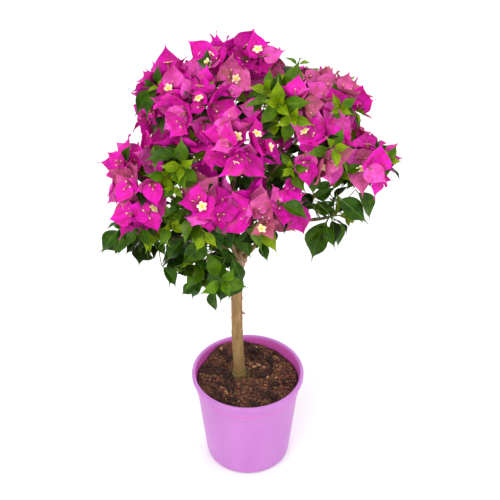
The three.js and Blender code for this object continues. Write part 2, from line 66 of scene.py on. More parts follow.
# Trunk: leaning slightly, flared at its foot, swollen where its head was pruned
TRUNK_PATH = [
    (-11.7, 10, 127.3),
    (-11.7, 10, 136),
    (-12.8, 10.5, 165),
    (-14, 11.4, 205),
    (-13.8, 12, 265),
    (-11.5, 12, 327),
]
TRUNK_RADIUS = 7.6
TRUNK_NECK_RADIUS = 6.8
FLARE_RADIUS = 10
FLARE_HEIGHT = 9
HEAD_RADIUS = 9.4
HEAD_HALF_LENGTH = 15
HEAD_MIDDLE = 0.945
SPUR_PLACE = (-6.4, 9.4, 233)
SPUR_HEADING = (0.9, -0.2, -0.15)

# The trunk's bark, with knots as height and size, cut stubs of the head as heading, radius and length,
# and the spur as steps along its heading with their radius
TRUNK_RINGS = 190
TRUNK_SIDES = 56
TRUNK_RELIEF = 0.4
TRUNK_KNOTS = [(46, 0.35), (71, 0.5), (96, 0.4), (128, 0.45), (152, 0.5)]
KNOT_HALF_HEIGHT = 2.6
HEAD_STUBS = [((0.35, -0.7, 0.62), 7.6, 12), ((-0.55, -0.7, 0.4), 5.2, 11.5), ((0.9, -0.2, 0.4), 5, 12)]
SPUR_STEPS = [(-2, 2.6), (0.8, 1.9), (2.2, 1.1), (3.8, 0.45)]
SPUR_DROOP = 0.4
STUB_RINGS = 14
STUB_SIDES = 24
STUB_WIDENING = 1.1
STUB_TAPER = 0.15
STUB_ROUND_FROM = 0.78
STUB_ROUND_SHARE = 0.24
STUB_RELIEF = (2.4, 0.7, 1)
BARK_GRAIN = 3.2
BARK_STRETCH = 4.5
BARK_SUNK = 0.6
RIDGE_SHARE = 0.6
CRACK_SHARE = 0.8
CRACK_EDGE = 3
CRACK_CLOSENESS = 2.1
CRACK_STRETCH = 0.6
CRACK_LAYER = 9
MOSS_SEED = 71
MOSS_HEIGHTS = (4, 10.5)
MOSS_CRUMBS = 260
MOSS_SIZES = (0.5, 1.1)
MOSS_SUNK = 0.2

# Boughs and stems
BOUGH_RADIUS = 3.4
BOUGH_TIP_RADIUS = 2.2
BOUGH_SIDES = 18
BOUGH_RELIEF = 0.3
SIDE_BOUGH_SHARE = 0.78
BOUGH_RISE = 0.35
BOUGH_ARCH = 0.22
BOUGH_END_SHARE = 0.62
COLLAR_SWELL = 0.35
COLLAR_SHARE = 0.05
STEM_TIP_RADIUS = 1.2
STEM_REACH = 0.35
JOINT_STEP = 3.6

# Twigs: radius, radius at the tip, bow as a share of the length, and sides
TWIGS = {
    "spray": (0.95, 0.6, 0.04, 6),
    "shown": (0.95, 0.45, 0.06, 5),
    "fine": (0.7, 0.45, 0.05, 5),
    "stalk": (0.45, 0.45, 0, 4),
}
TWIG_STEP = 6
TWIG_KNOT_SWELL = 0.1
TWIG_KNOT_STEP = 2.2

# Leaves and bracts: rows of points, full size, and the ranges that each one is drawn from; ends are
# the powers that narrow its outline at root and tip
BLADES = {
    "leaf": dict(
        rows=13, length=50, width=33, widths=(0.6, 0.78), ends=(0.75, 3), folds=(0.2, 0.6),
        ripples=(1, 2), waves=(0.3, 1.6), veins=4, vein_slant=0.8, vein_depth=0.4,
    ),
    "bract": dict(
        rows=15, length=38, width=35, widths=(0.78, 0.98), ends=(0.5, 2.05), folds=(0.25, 0.7),
        ripples=(1.2, 2.6), waves=(0.8, 2.6), veins=3.5, vein_slant=0.9, vein_depth=0.45,
    ),
}
WIDEST = (0.31, 0.37)
POINT_SHARE = 0.06
TWIST = 2.5
BRACT_POINT = 0.6
BRACT_BELLY = (3, 6.5)
BELLY_PACE = 1.15
BRACT_FLARE = (-1, 5)
FLARE_FROM = 0.6
STALK_SHARE = 0.14
STALK_WIDTH = 1.5
STALK_TAPER = 0.4
LEAF_ARCH = (1, 5)
LEAF_CURL = 5
CURL_SHARES = (0.3, 1.7)
CURL_POWER = 2.6
RIB_LIFT = 0.14
RIB_HALF_WIDTH = 0.5
RIB_END_SHARE = 0.35

# Sizes of leaves and bracts as shares of the full one
SIZES_TRIED = (1, 0.86, 0.74, 0.62)
BRACT_SIZES = (0.92, 1.15)
LEAF_SIZES = (0.8, 1.05)
SMALL_LEAF_SIZES = (0.66, 0.9)
AIMED_SIZE = 0.86
YOUNG_SIZE = 0.75

# Sprays: how they are spread and aimed, how far they reach, and how many triangles of bracts pressed
# together may cross
SPRAY_SHARE = 0.55
LEAF_SPRAY_SHARE = 0.5
SPRAY_JITTER = 0.22
UNDERSIDE = -0.3
INWARD_LIMIT = 0.62
TIP_DROOP = 0.9
REACH_LIMIT = 1.2
PRESSED = 18
SEED_STEP = 1000
TWIG_SEEDS = 500

# Blossoms: their bracts, florets and small leaves
BRACTS = 3
BRACT_STEP = 1.8
BRACT_TILT = 0.95
BRACT_TILT_SPREAD = 0.2
BRACT_LEANS = (1, 0.78, 0.6)
FLORET_STEP = 1.2
FLORET_LENGTHS = (6.5, 10.5)
FLORET_LEAN = 0.5
LEAVES_HIDDEN = 0.68
SMALL_LEAF_RISE = 0.35
SMALL_LEAF_DROOP = 0.2

# Leafy shoots, and the small leaves at their tips
LEAVES_IN_SPRAY = 3
LEAF_TILT = 0.6
LEAF_TILT_STEP = 0.3
LEAF_GAP = 5
LEAF_DROOP = 0.4
LEAF_DROOP_MOST = 1.6 * LEAF_DROOP
TIP_LEAVES = 4
TIP_TURN = 1.1
TIP_TILT = 0.3
TIP_TILT_STEP = 0.24
TIP_GAP = 1.2
TIP_SIZES = (0.2, 0.34)
TIP_SIZE_STEP = 0.05
LIME_TIP_SHARE = 0.3

# Finer sprays between those of the solids; FINE_FROM is where along a twig their own may leave it, as
# first share, last share and how many places
CROWN_MIDDLE = np.array([0, 10, 470])
FINE_SEEDS = 7000
SHOOT_SEEDS = 7300
WINDOW_SEEDS = 7600
FINE_BLOSSOMS = 4
FINE_SHOOTS = 1.5
FINE_LEAFINESS = 1.15
WINDOW_SHOOTS = 4
FINE_SHARE = (0.35, 0.78)
FINE_SIZES = (0.76, 1.06)
FINE_TURN = 2.4
FINE_UNDERSIDE = -0.4
INSIDE_FACING = -0.2
SIDE_LEAN = 0.5
OUTWARD_LEAN = 0.7
LEAST_TWIG = 4
FINE_FROM = (0.15, 0.95, 9)

# Leaves deep inside the masses, whose very dark tone is painted shade
INSIDE_SEEDS = 9000
INSIDE_LEAVES = 60
INSIDE_SHARE = (0.05, 0.68)
INSIDE_SIZES = (0.6, 0.95)
INSIDE_LEAN = 0.8
INSIDE_DROOP = 0.3
INSIDE_TILT = 0.6
LEAST_STALK = 1
STALKS_FROM = (0.1, 0.8, 8)

# Young shoots: small leaves round a tip that is turned a little to the front
SHOOT_LEAVES = 8
SHOOT_YOUNG = 6
SHOOT_FACING = 0.8
SHOOT_TILT = 0.2
SHOOT_TILT_STEP = 0.2
SHOOT_SIZE = 0.24
SHOOT_SIZE_STEP = 0.075
SHOOT_GAP = 1.6
SHOOT_LIMIT = 1.5

# Leaves and bracts that the photo shows one by one
SHOWN_SEEDS = 800
PETAL_SEEDS = 850
SHOWN_LEAN = 0.6
PETAL_LEAN = 0.4
SHOWN_FROM = (0.1, 1, 30)
PETALS_FROM = (0.4, 1, 20)

# Tones to choose from, the commoner ones more than once
SHOWN_TONES = ["glossy", "glossy", "dark"]
# of the greens, "sheen" is painted sheen
GREENS = ["dark", "dark", "mid", "sheen"]
LOW_GREENS = ["glossy", "glossy", "dark", "mid"]
FADED_ONES = ["faded", "faded", "dusky"]
# among the bright ones, "deep" is painted shade and "light" painted highlight, both also tone that differs
# at random
BRIGHT_ONES = ["bright", "bright", "bright", "deep", "light"]
SISTER_SHARE = 0.4

# Florets: tube, open star with its throat, and bud; rings are steps along the axis with their radii,
# and the star's are shares of its reach with their lift
TUBE_RADII = (0.8, 0.95)
STAR_MOUTH = 1.3
STAR_STEM = 3
STAR_POINTS = 40
LOBES = 5
LOBE_FOOT = 3.4
LOBE_LENGTH = 2.6
LOBE_POWER = 0.8
STAR_RINGS = [(0.5, 0.7), (0.8, 0.9), (1.0, 0.5)]
THROAT_RINGS = [(-0.4, 1.9), (0.5, 2.1), (0.9, 1.2)]
BUD_NECK = 0.7
BUD_BEND = 0.2
BUD_SIZES = (0.5, 0.78)
BUD_RINGS = [(-0.4, 0.7), (0.6, 1.35), (1.9, 1.6), (3.1, 1.1), (3.7, 0.3)]
BUD_TONES = ["cream", "rose", "rose"]
OPEN_SHARE = 0.04

# Pot: its wall, and the heights of the wall's foot and of the collar's foot and top
POT_SIDES = 160
POT_WALL = 2.2
WALL_FOOT_HEIGHT = 12
COLLAR_FOOT_HEIGHT = 113
COLLAR_TOP_HEIGHT = 126

# Potting mix: its bed, then heaps at the rim as place, height and spread, and lumps as height, width
# and layer; it is calmer round the trunk
MIX_RADIUS = 66.8
MIX_LEVEL = 127
MIX_SLOPE = 0.022
MIX_BACK_SHARE = 0.6
MIX_RINGS = 56
MIX_SIDES = 168
MIX_SKIRT = [(65.8, 113.5), (55.5, 12), (50, 3.6)]
MIX_HEAPS = [(-34, 52, 10.5, 18), (-8, 66, 7, 16), (22, 58, 3, 16), (-60, 4, 2.5, 14), (58, 10, 2, 16)]
MIX_LUMPS = [(2.8, 12, 0.7), (2.2, 5, 3.1)]
FINE_BUMPS = (1.9, 5.3)
CALM_RADIUS = 10
CALM_EDGE = 22
CALM_LEAST = 0.1

# Crumbs: the width and layer of the patches that they keep to, the chips and the speck that the photo
# shows, as place and size, those heaped at the trunk's foot, and fibres
CRUMB_SEEDS = 40
CRUMB_WOBBLE = (0.65, 1.25)
CRUMB_WIDTHS = (0.5, 1)
CRUMB_LIFT = 0.25
RIM_CLEAR = 0.9
PATCHES = (17, 8.2)
PATCH_LIMIT = 0.04
CHIPS_SEEN = [(9, 22, 5.8), (15, 27, 5), (4, 28, 4.6), (22, 21, 5), (-27, -27, 4.6), (-22, -23, 3.4)]
SPECK_SEEN = (-1.5, -9)
SPECK_SIZE = 1.5
FOOT_CRUMB_SEED = 58
FOOT_CRUMBS = 240
FOOT_CRUMB_SIZES = (0.8, 1.9)
FOOT_CRUMB_LIFTS = (0.4, 2.2)
FIBRE_SEED = 60
ROOT_FIBRES = 46
FIBRE_STEPS = 6
FIBRE_RADIUS = 0.3
FIBRE_LENGTHS = (5, 13)
FIBRE_BEND = 0.25
FIBRE_AREA = 60
FIBRE_LIMIT = 64
FIBRE_CLEAR = 22

# Masses of foliage, as in the solids: the limb that the bough leaves and how far along, centre and
# reach, sprays, the share of them in flower and the tips that stand out. The looks add the shares of
# faded blossom and of young lime leaves. Where the photo asks for more, they also have blooming and
# finer, how much finer blossom and finer leaves there are, kept, the share of leafy sprays where sky
# shows through, the greens to choose from, young shoots with their size, tone and limit, and leaves
# (shown) and bracts (petals) that the photo shows one by one, with root and tip.
# Of the bracts shown one by one, "light" ones are painted highlight and "deep" ones painted shade
MASSES = {
    "left": dict(
        start=("trunk", 0.9), centre=(-121, -50, 486), reach=(42, 50, 38), sprays=13, flowering=0.9,
        tips=[("bract", -163, -45, 480), ("bract", -150, -40, 509), ("bract", -158, -72, 457)],
        faded=0.12, young=0.3, blooming=1.2, shoots=[(-84, -88, 503, 0.7)],
    ),
    "front_left": dict(
        start=("trunk", 0.93), centre=(-46, -88, 462), reach=(46, 46, 40), sprays=13, flowering=0.85,
        tips=[], faded=0.1, young=0.4,
        shown=[
            ((-44, -52, 479), (-15, -56, 494)), ((-22, -44, 457), (2, -46, 480)),
            ((7, -36, 451), (-13, -38, 472)),
        ],
    ),
    "front_right": dict(
        start=("trunk", 0.96), centre=(24, -98, 464), reach=(50, 46, 42), sprays=13, flowering=0.85,
        tips=[("bract", 55, -100, 438)], faded=0.15, young=0.25,
        petals=[("deep", (49, -106, 480), (63, -116, 444))],
    ),
    "right": dict(
        start=("trunk", 0.91), centre=(134, -28, 486), reach=(42, 50, 33), sprays=13, flowering=0.7,
        tips=[("bract", 178, -25, 489)], faded=0.35, young=0.3, blooming=1,
        shoots=[(104, -58, 490, 0.75), (160, -48, 500, 0.65)],
        shown=[((95, -50, 474), (74, -54, 464))],
        petals=[("bright", (140, -53, 490), (149, -58, 527)), ("light", (133, -58, 498), (157, -62, 478))],
    ),
    "back_right": dict(
        start=("trunk", 0.95), centre=(66, 92, 506), reach=(52, 52, 44), sprays=12, flowering=0.85,
        tips=[], faded=0.25, young=0.4, blooming=0.6, finer=2.6,
    ),
    "back": dict(
        start=("trunk", 0.92), centre=(-24, 118, 508), reach=(52, 48, 46), sprays=12, flowering=0.85,
        tips=[], faded=0.15, young=0.35, blooming=0.6, finer=2.6,
    ),
    "back_left": dict(
        start=("trunk", 0.97), centre=(-90, 72, 480), reach=(50, 56, 46), sprays=13, flowering=0.8,
        tips=[], faded=0.15, young=0.35, blooming=0.6, finer=2.6,
    ),
    "crown_top": dict(
        start=("trunk", 0.985), centre=(-22, 36, 568), reach=(54, 52, 40), sprays=14, flowering=1,
        tips=[("bract", 40, 32, 596), ("bract", -69, 45, 603), ("bract", 9, 30, 624)],
        faded=0.05, young=0.3,
        petals=[("light", (18, 20, 594), (43, 18, 602)), ("bright", (13, 22, 592), (7, 28, 624))],
    ),
    "left_low": dict(
        start=("left", 0.5), centre=(-112, -75, 443), reach=(42, 42, 34), sprays=11, flowering=0.9,
        tips=[("bract", -155, -78, 443), ("bract", -137, -80, 420)], faded=0.15, young=0.35, blooming=1.2,
        shoots=[(-84, -98, 447, 0.9)],
    ),
    "side_left": dict(
        start=("left", 0.62), centre=(-70, -60, 508), reach=(44, 44, 42), sprays=13, flowering=0.4,
        tips=[], faded=0.1, young=0.5, shoots=[(-71, -93, 518, 0.85), (-80, -95, 494, 0.75)],
    ),
    "low_left_out": dict(
        start=("left", 0.24), centre=(-118, -42, 392), reach=(48, 42, 28), sprays=8, flowering=0,
        tips=[("leaf", -179, -40, 367), ("leaf", -157, -48, 362)],
        faded=0, young=0.15, kept=0.7, finer=0.6, greens=LOW_GREENS,
        shown=[
            ((-146, -60, 416), (-174, -66, 381)), ((-145, -64, 413), (-154, -70, 380)),
            ((-132, -50, 408), (-176, -55, 377)), ((-141, -45, 398), (-156, -52, 369)),
            ((-110, -50, 366), (-130, -60, 370)), ((-103, -48, 354), (-83, -55, 323)),
        ],
    ),
    "centre": dict(
        start=("front_left", 0.5), centre=(-6, -82, 538), reach=(44, 42, 40), sprays=12, flowering=0.85,
        tips=[], faded=0.08, young=0.3,
        shown=[((-19, -22, 532), (6, -26, 550)), ((-15, -10, 548), (1, -14, 524))],
    ),
    "low_front": dict(
        start=("front_right", 0.22), centre=(13, -64, 403), reach=(28, 26, 24), sprays=6, flowering=0,
        tips=[("leaf", 3, -72, 364), ("leaf", 24, -70, 374)],
        faded=0, young=0, kept=0.35, finer=0.3, greens=LOW_GREENS,
        shown=[
            ((-2, -55, 414), (3, -62, 370)), ((21, -60, 420), (23, -66, 382)),
            ((-13, -38, 408), (-19, -46, 376)),
        ],
    ),
    "low_right": dict(
        start=("right", 0.35), centre=(94, -48, 424), reach=(44, 42, 32), sprays=10, flowering=0,
        tips=[("leaf", 72, -57, 363), ("leaf", 102, -50, 376), ("leaf", 143, -35, 407)],
        faded=0, young=0.12, kept=0.4, finer=0.4, greens=LOW_GREENS,
        shown=[
            ((94, -58, 430), (70, -64, 366)), ((97, -54, 424), (110, -56, 380)),
            ((56, -52, 464), (72, -62, 430)), ((103, -52, 455), (143, -50, 413)),
            ((124, -40, 456), (145, -40, 410)), ((73, -40, 435), (109, -50, 430)),
            ((75, -52, 451), (102, -54, 470)),
        ],
    ),
    "right_mid": dict(
        start=("right", 0.5), centre=(70, -66, 522), reach=(46, 46, 40), sprays=12, flowering=0.65,
        tips=[], faded=0.35, young=0.3, blooming=0.95, shoots=[(94, -88, 540, 0.85), (46, -100, 520, 0.6)],
        shown=[((43, -40, 503), (68, -44, 515))],
        petals=[
            ("light", (101, -36, 528), (113, -38, 553)), ("faded", (88, -76, 517), (67, -82, 494)),
            ("light", (91, -70, 512), (95, -78, 482)),
        ],
    ),
    "right_back": dict(
        start=("back_right", 0.4), centre=(116, 42, 460), reach=(42, 48, 38), sprays=10, flowering=0.6,
        tips=[], faded=0.3, young=0.4, blooming=0.9,
    ),
    "shoulder": dict(
        start=("back_right", 0.55), centre=(96, 8, 542), reach=(44, 48, 36), sprays=13, flowering=0.6,
        tips=[("bract", 138, 0, 553), ("bract", 116, 20, 575)], faded=0.6, young=0.3, blooming=1.1,
        shoots=[(102, -30, 555, 0.7)],
        petals=[
            ("bright", (125, -3, 538), (129, -8, 576)), ("faded", (88, 4, 561), (95, 8, 587)),
            ("faded", (107, 4, 561), (114, 6, 583)),
        ],
    ),
    "crest": dict(
        start=("crown_top", 0.5), centre=(40, -32, 554), reach=(44, 46, 40), sprays=12, flowering=0.3,
        tips=[("leaf", 58, 5, 600)], faded=0.6, young=0.7, blooming=0.7,
        shoots=[(33, -60, 578, 1), (20, -42, 586, 0.85), (48, -70, 566, 0.9), (58, 4, 600, 0.62)],
    ),
    "crown_right": dict(
        start=("back_right", 0.3), centre=(40, 42, 550), reach=(48, 46, 38), sprays=14, flowering=0.7,
        tips=[], faded=0.3, young=0.4, blooming=0.95,
    ),
    "crown_mid": dict(
        start=("crown_top", 0.42), centre=(-50, -38, 560), reach=(46, 46, 40), sprays=12, flowering=0.95,
        tips=[], faded=0.05, young=0.3,
    ),
    "crown_left": dict(
        start=("back_left", 0.5), centre=(-86, 20, 542), reach=(42, 50, 42), sprays=13, flowering=0.9,
        tips=[("leaf", -130, -5, 530), ("bract", -93, 40, 600), ("bract", -131, 5, 556)],
        faded=0.08, young=0.25,
    ),
    "low_back": dict(
        start=("back", 0.35), centre=(16, 66, 420), reach=(54, 46, 34), sprays=9, flowering=0,
        tips=[], faded=0, young=0.25, finer=3.2,
    ),
    "low_left": dict(
        start=("trunk", 0.82), centre=(-60, -32, 350), reach=(46, 42, 44), sprays=14, flowering=0,
        tips=[("leaf", -104, -30, 311), ("leaf", -71, -35, 287), ("leaf", -41, -40, 273)],
        faded=0, young=0.1, finer=1.2, greens=LOW_GREENS,
        shoots=[(-29, -66, 342, 1.15), (-63, -36, 388, 1)], young_tone="fresh", shoot_limit=2.4,
        shown=[
            ((-38, -50, 322), (-41, -52, 279)), ((-52, -48, 342), (-70, -52, 301)),
            ((-58, -40, 419), (-25, -58, 374)), ((-50, -50, 403), (-80, -58, 355)),
            ((-72, -48, 396), (-99, -52, 359)), ((-26, -46, 361), (-52, -56, 320)),
            ((-19, -40, 362), (-4, -42, 318)), ((-34, -36, 372), (-8, -40, 352)),
            ((-36, -30, 388), (-14, -36, 364)), ((-14, -34, 336), (-23, -38, 288)),
            ((-26, -44, 337), (-35, -48, 292)),
        ],
    ),
}
SHOOT_ON_TRUNK = "low_left"


# What the photo shows on its side of a depth, in its pixels; by chance a spray is faded or young more
# seldom there. First lime young leaves and open star flowers, each within a reach.
SHOWN_SIDE = 40
SHOWN_SHARE = 0.4
LIME_IN_PHOTO = [
    (186, 166), (170, 176), (168, 196), (182, 218), (196, 232), (174, 238), (262, 84), (280, 104),
    (284, 118), (300, 60), (312, 66), (268, 122), (345, 140), (352, 126), (322, 152), (222, 240),
    (150, 236),
]
SPOT_REACH = 8
STARS_IN_PHOTO = [
    (234, 134), (250, 133), (233, 174), (212, 200), (205, 203), (276, 153), (289, 79), (301, 130),
    (184, 47), (215, 50), (258, 54), (212, 63), (194, 79), (243, 74), (172, 65), (163, 83), (151, 107),
]
STAR_REACH = 12
STAR_OFF_WEIGHT = 3
STAR_TOO_FAR = 1000

# Then, as middles with their reach, where it shows faded bracts
FADED_IN_PHOTO = np.array([
    (328, 84, 17), (345, 92, 10), (310, 104, 12), (312, 74, 10), (330, 164, 13), (352, 158, 10),
    (300, 122, 8), (294, 112, 8), (330, 147, 6), (300, 92, 7), (112, 181, 9), (136, 205, 6),
    (141, 98, 9), (264, 218, 11), (232, 206, 8), (206, 186, 8), (278, 74, 7),
])

# Where it shows leaves and no blossom
LEAFY_IN_PHOTO = np.array([
    (265, 86, 7), (268, 103, 9), (282, 98, 8), (279, 119, 7), (338, 108, 6), (290, 132, 6), (133, 123, 6),
    (295, 154, 7), (286, 171, 8), (274, 179, 7), (339, 152, 5), (347, 176, 7), (393, 160, 6),
    (138, 138, 7), (137, 112, 5), (166, 149, 6), (181, 153, 6), (168, 170, 9), (181, 167, 7), (171, 189, 8),
    (174, 205, 8), (172, 220, 8), (184, 228, 8), (202, 229, 6), (190, 177, 6), (236, 227, 5),
])
WINDOW_SHARE = 0.2

# Where it shows no blossom below the crown's lower edge
BARE_IN_PHOTO = np.array([
    (113, 241, 8), (129, 242, 9), (146, 241, 9), (160, 237, 8), (182, 240, 9), (199, 241, 9), (216, 241, 9),
    (232, 242, 8), (249, 243, 9), (265, 243, 9), (281, 244, 8), (292, 241, 7),
])

# Where more leaves stand behind the blossom, so that no sky shows through
FILLED_IN_PHOTO = np.array([(240, 113, 8), (296, 151, 8), (195, 156, 7), (219, 172, 7), (256, 128, 7)])

# Where it shows sky: between the top of the crown and its right shoulder, then round the hanging leaves
SKY_IN_PHOTO = np.array([
    (291, 47, 8), (303, 44, 9), (318, 48, 9), (332, 52, 8), (345, 62, 6), (289, 59, 6), (299, 60, 6),
    (309, 58, 6), (322, 58, 5), (335, 59, 5), (351, 70, 5), (366, 122, 5), (375, 127, 6), (384, 134, 5),
    (112, 247, 4), (123, 251, 3), (160, 257, 4), (181, 279, 4), (148, 272, 5), (221, 240, 4),
    (285, 248, 8), (291, 234, 4), (300, 240, 7), (322, 194, 3), (345, 197, 3), (318, 220, 3),
    (355, 233, 7),
])


# Small vector helpers
def unit(vector):
    """A vector brought to length 1."""
    return vector / np.linalg.norm(vector)


def unit_rows(vectors):
    """Rows of vectors, each brought to length 1."""
    return vectors / np.maximum(np.linalg.norm(vectors, axis=1), 1e-6)[:, None]


def between(low, high, share):
    """The value at a share of the way from one to another."""
    return low + (high - low) * share


def rotated(vector, axis, angle):
    """A vector turned round a unit axis."""
    across = np.cross(axis, vector)
    along = axis * np.dot(axis, vector) * (1 - math.cos(angle))
    return vector * math.cos(angle) + across * math.sin(angle) + along


def square(axis, turn):
    """Any direction square to another one, turned round it by an angle."""
    helper = UP if abs(axis[2]) < 0.9 else np.array([1.0, 0.0, 0.0])
    return rotated(unit(np.cross(helper, axis)), axis, turn)


def aside(direction, axis):
    """The part of a direction that is square to a unit axis."""
    return unit(direction - axis * np.dot(axis, direction))


def seeded(seed):
    """Repeatable random numbers from 0 to 1, the same as in the solids."""
    state = seed

    def draw():
        nonlocal state
        state = (state * 1664525 + 1013904223) % 4294967296
        return state / 4294967296

    for _ in range(3):
        draw()
    return draw


class Path:
    """A smooth curve that can be read at any share of its length."""

    SAMPLES = 200

    def __init__(self, at):
        self.points = np.array([at(i / self.SAMPLES) for i in range(self.SAMPLES + 1)])
        steps = np.linalg.norm(np.diff(self.points, axis=0), axis=1)
        self.lengths = np.concatenate([[0], np.cumsum(steps)])
        self.length = self.lengths[-1]

    def point(self, share):
        """The place at a share of the length, or a row of places for a row of shares."""
        wanted = np.clip(share, 0, 1) * self.length
        return np.array([np.interp(wanted, self.lengths, self.points[:, axis]) for axis in range(3)]).T

    def heading(self, share):
        """The direction of the curve at a share of its length."""
        return unit(self.point(min(share + 0.01, 1)) - self.point(max(share - 0.01, 0)))


def bezier(*corners):
    """The path of a Bezier curve through its control points."""
    corners = [np.asarray(corner, float) for corner in corners]
    degree = len(corners) - 1

    def at(t):
        return sum(
            math.comb(degree, i) * (1 - t) ** (degree - i) * t**i * corner
            for i, corner in enumerate(corners)
        )

    return Path(at)


def smooth_run(places):
    """The path of a centripetal spline through places."""
    places = [np.asarray(place, float) for place in places]
    places = [2 * places[0] - places[1], *places, 2 * places[-1] - places[-2]]
    spans = len(places) - 3

    def at(t):
        i = min(int(t * spans), spans - 1)
        share = t * spans - i
        before, start, end, after = places[i : i + 4]
        gaps = [np.linalg.norm(b - a) ** 0.5 for a, b in ((before, start), (start, end), (end, after))]
        out = (start - before) / gaps[0] - (end - before) / (gaps[0] + gaps[1]) + (end - start) / gaps[1]
        into = (end - start) / gaps[1] - (after - start) / (gaps[1] + gaps[2]) + (after - end) / gaps[2]
        out, into = out * gaps[1], into * gaps[1]
        bend = 2 * start - 2 * end + out + into
        turn = -3 * start + 3 * end - 2 * out - into
        return bend * share**3 + turn * share**2 + out * share + start

    return Path(at)


class Heap:
    """Triangles of one kind, gathered to be joined into one piece."""

    def __init__(self):
        self.points = []
        self.faces = []
        self.count = 0

    def add(self, points, faces):
        """Adds points and the triangles between them."""
        self.points.append(points)
        self.faces.append(faces + self.count)
        self.count += len(points)


def grid_faces(rows, columns, closed):
    """Triangles between neighbouring rows of points; closed joins the last column to the first."""
    across = columns if closed else columns - 1
    row, column = np.meshgrid(np.arange(rows - 1), np.arange(across), indexing="ij")
    a = (row * columns + column).ravel()
    b = (row * columns + (column + 1) % columns).ravel()
    c, d = a + columns, b + columns
    return np.concatenate([np.stack([a, b, d], 1), np.stack([a, d, c], 1)])


def fan(middle, ring, sides, flipped=False):
    """Triangles from a middle point to the closed ring of points that starts at a number."""
    here = ring + np.arange(sides)
    following = ring + (np.arange(sides) + 1) % sides
    edge = [following, here] if flipped else [here, following]
    return np.stack([np.full(sides, middle), *edge], 1)


def closed_faces(rings, sides):
    """Triangles round rings of points and over both ends, whose middles come after the rings."""
    count = rings * sides
    ends = [fan(count, 0, sides, True), fan(count + 1, count - sides, sides)]
    return np.concatenate([grid_faces(rings, sides, True), *ends])


def circle(side, other, angles):
    """Points at angles round the unit circle through two directions."""
    return np.cos(angles)[:, None] * side + np.sin(angles)[:, None] * other


def tube(path_points, radii, sides):
    """A round limb along points; radii hold one number a ring, or one for each point of it."""
    path_points = np.asarray(path_points, float)
    rings = len(path_points)
    radii = np.asarray(radii, float)
    if radii.ndim == 1:
        radii = np.repeat(radii[:, None], sides, axis=1)
    headings = np.gradient(path_points, axis=0)
    headings /= np.linalg.norm(headings, axis=1)[:, None]
    angles = np.arange(sides) * FULL_TURN / sides
    side = square(headings[0], 0)
    points = np.empty((rings, sides, 3))
    for i in range(rings):
        side = aside(side, headings[i])
        ring = circle(side, np.cross(headings[i], side), angles)
        points[i] = path_points[i] + ring * radii[i][:, None]
    ends = np.stack([path_points[0], path_points[-1]])
    return np.concatenate([points.reshape(-1, 3), ends]), closed_faces(rings, sides)


def turned(profile, sides):
    """A body turned round the Z axis from an outline of radius and height, starting and ending on it."""
    inner = np.array(profile[1:-1], float)
    angles = np.arange(sides) * FULL_TURN / sides
    round_it = np.stack([np.cos(angles), np.sin(angles)], 1)
    rings = np.concatenate(
        [np.column_stack([radius * round_it, np.full(sides, height)]) for radius, height in inner]
    )
    ends = np.array([[0, 0, profile[0][1]], [0, 0, profile[-1][1]]], float)
    return np.concatenate([rings, ends]), closed_faces(len(inner), sides)


def piece(name, heap, finish, replaced=()):
    """Joins a heap into one object in metres, which rides on the root body."""
    points = np.concatenate(heap.points) * MM
    faces = np.concatenate(heap.faces)
    mesh = bpy.data.meshes.new(name)
    mesh.vertices.add(len(points))
    mesh.vertices.foreach_set("co", points.ravel())
    mesh.loops.add(faces.size)
    mesh.loops.foreach_set("vertex_index", faces.astype(np.int32).ravel())
    mesh.polygons.add(len(faces))
    mesh.polygons.foreach_set("loop_start", np.arange(0, faces.size, 3, dtype=np.int32))
    mesh.polygons.foreach_set("use_smooth", np.ones(len(faces), bool))
    mesh.update(calc_edges=True)
    mesh.validate()
    mesh.materials.append(finish)
    item = bpy.data.objects.new(name, mesh)
    bpy.context.scene.collection.objects.link(item)
    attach(item, "root")
    if replaced:
        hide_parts(*replaced)


# Finishes: the heights, in metres, over which the trunk's olive foot fades out and the pot's inside begins,
# whose pinker tone is painted light shining through the thin plastic
OLIVE_FOOT = (0.158, 0.26)
POT_INSIDE = (0.119, 0.121)


class Wire:
    """A number that varies over a surface; sums and products of it become Math nodes."""

    def __init__(self, finish, socket):
        self.finish = finish
        self.socket = socket

    def _math(self, operation, first, second):
        """The Math node of one operation, as a number that varies in its turn."""
        return self.finish.node("ShaderNodeMath", {"operation": operation}, {0: first, 1: second})

    def __add__(self, other):
        return self._math("ADD", self, other)

    __radd__ = __add__

    def __mul__(self, other):
        return self._math("MULTIPLY", self, other)

    __rmul__ = __mul__

    def __sub__(self, other):
        return self._math("SUBTRACT", self, other)

    def __rsub__(self, other):
        return self._math("SUBTRACT", other, self)


def colour(red, green, blue):
    """A screen colour from 0 to 255 as the shader's linear one."""
    channels = [value / 255 for value in (red, green, blue)]
    return (*[v / 12.92 if v <= 0.04045 else ((v + 0.055) / 1.055) ** 2.4 for v in channels], 1.0)


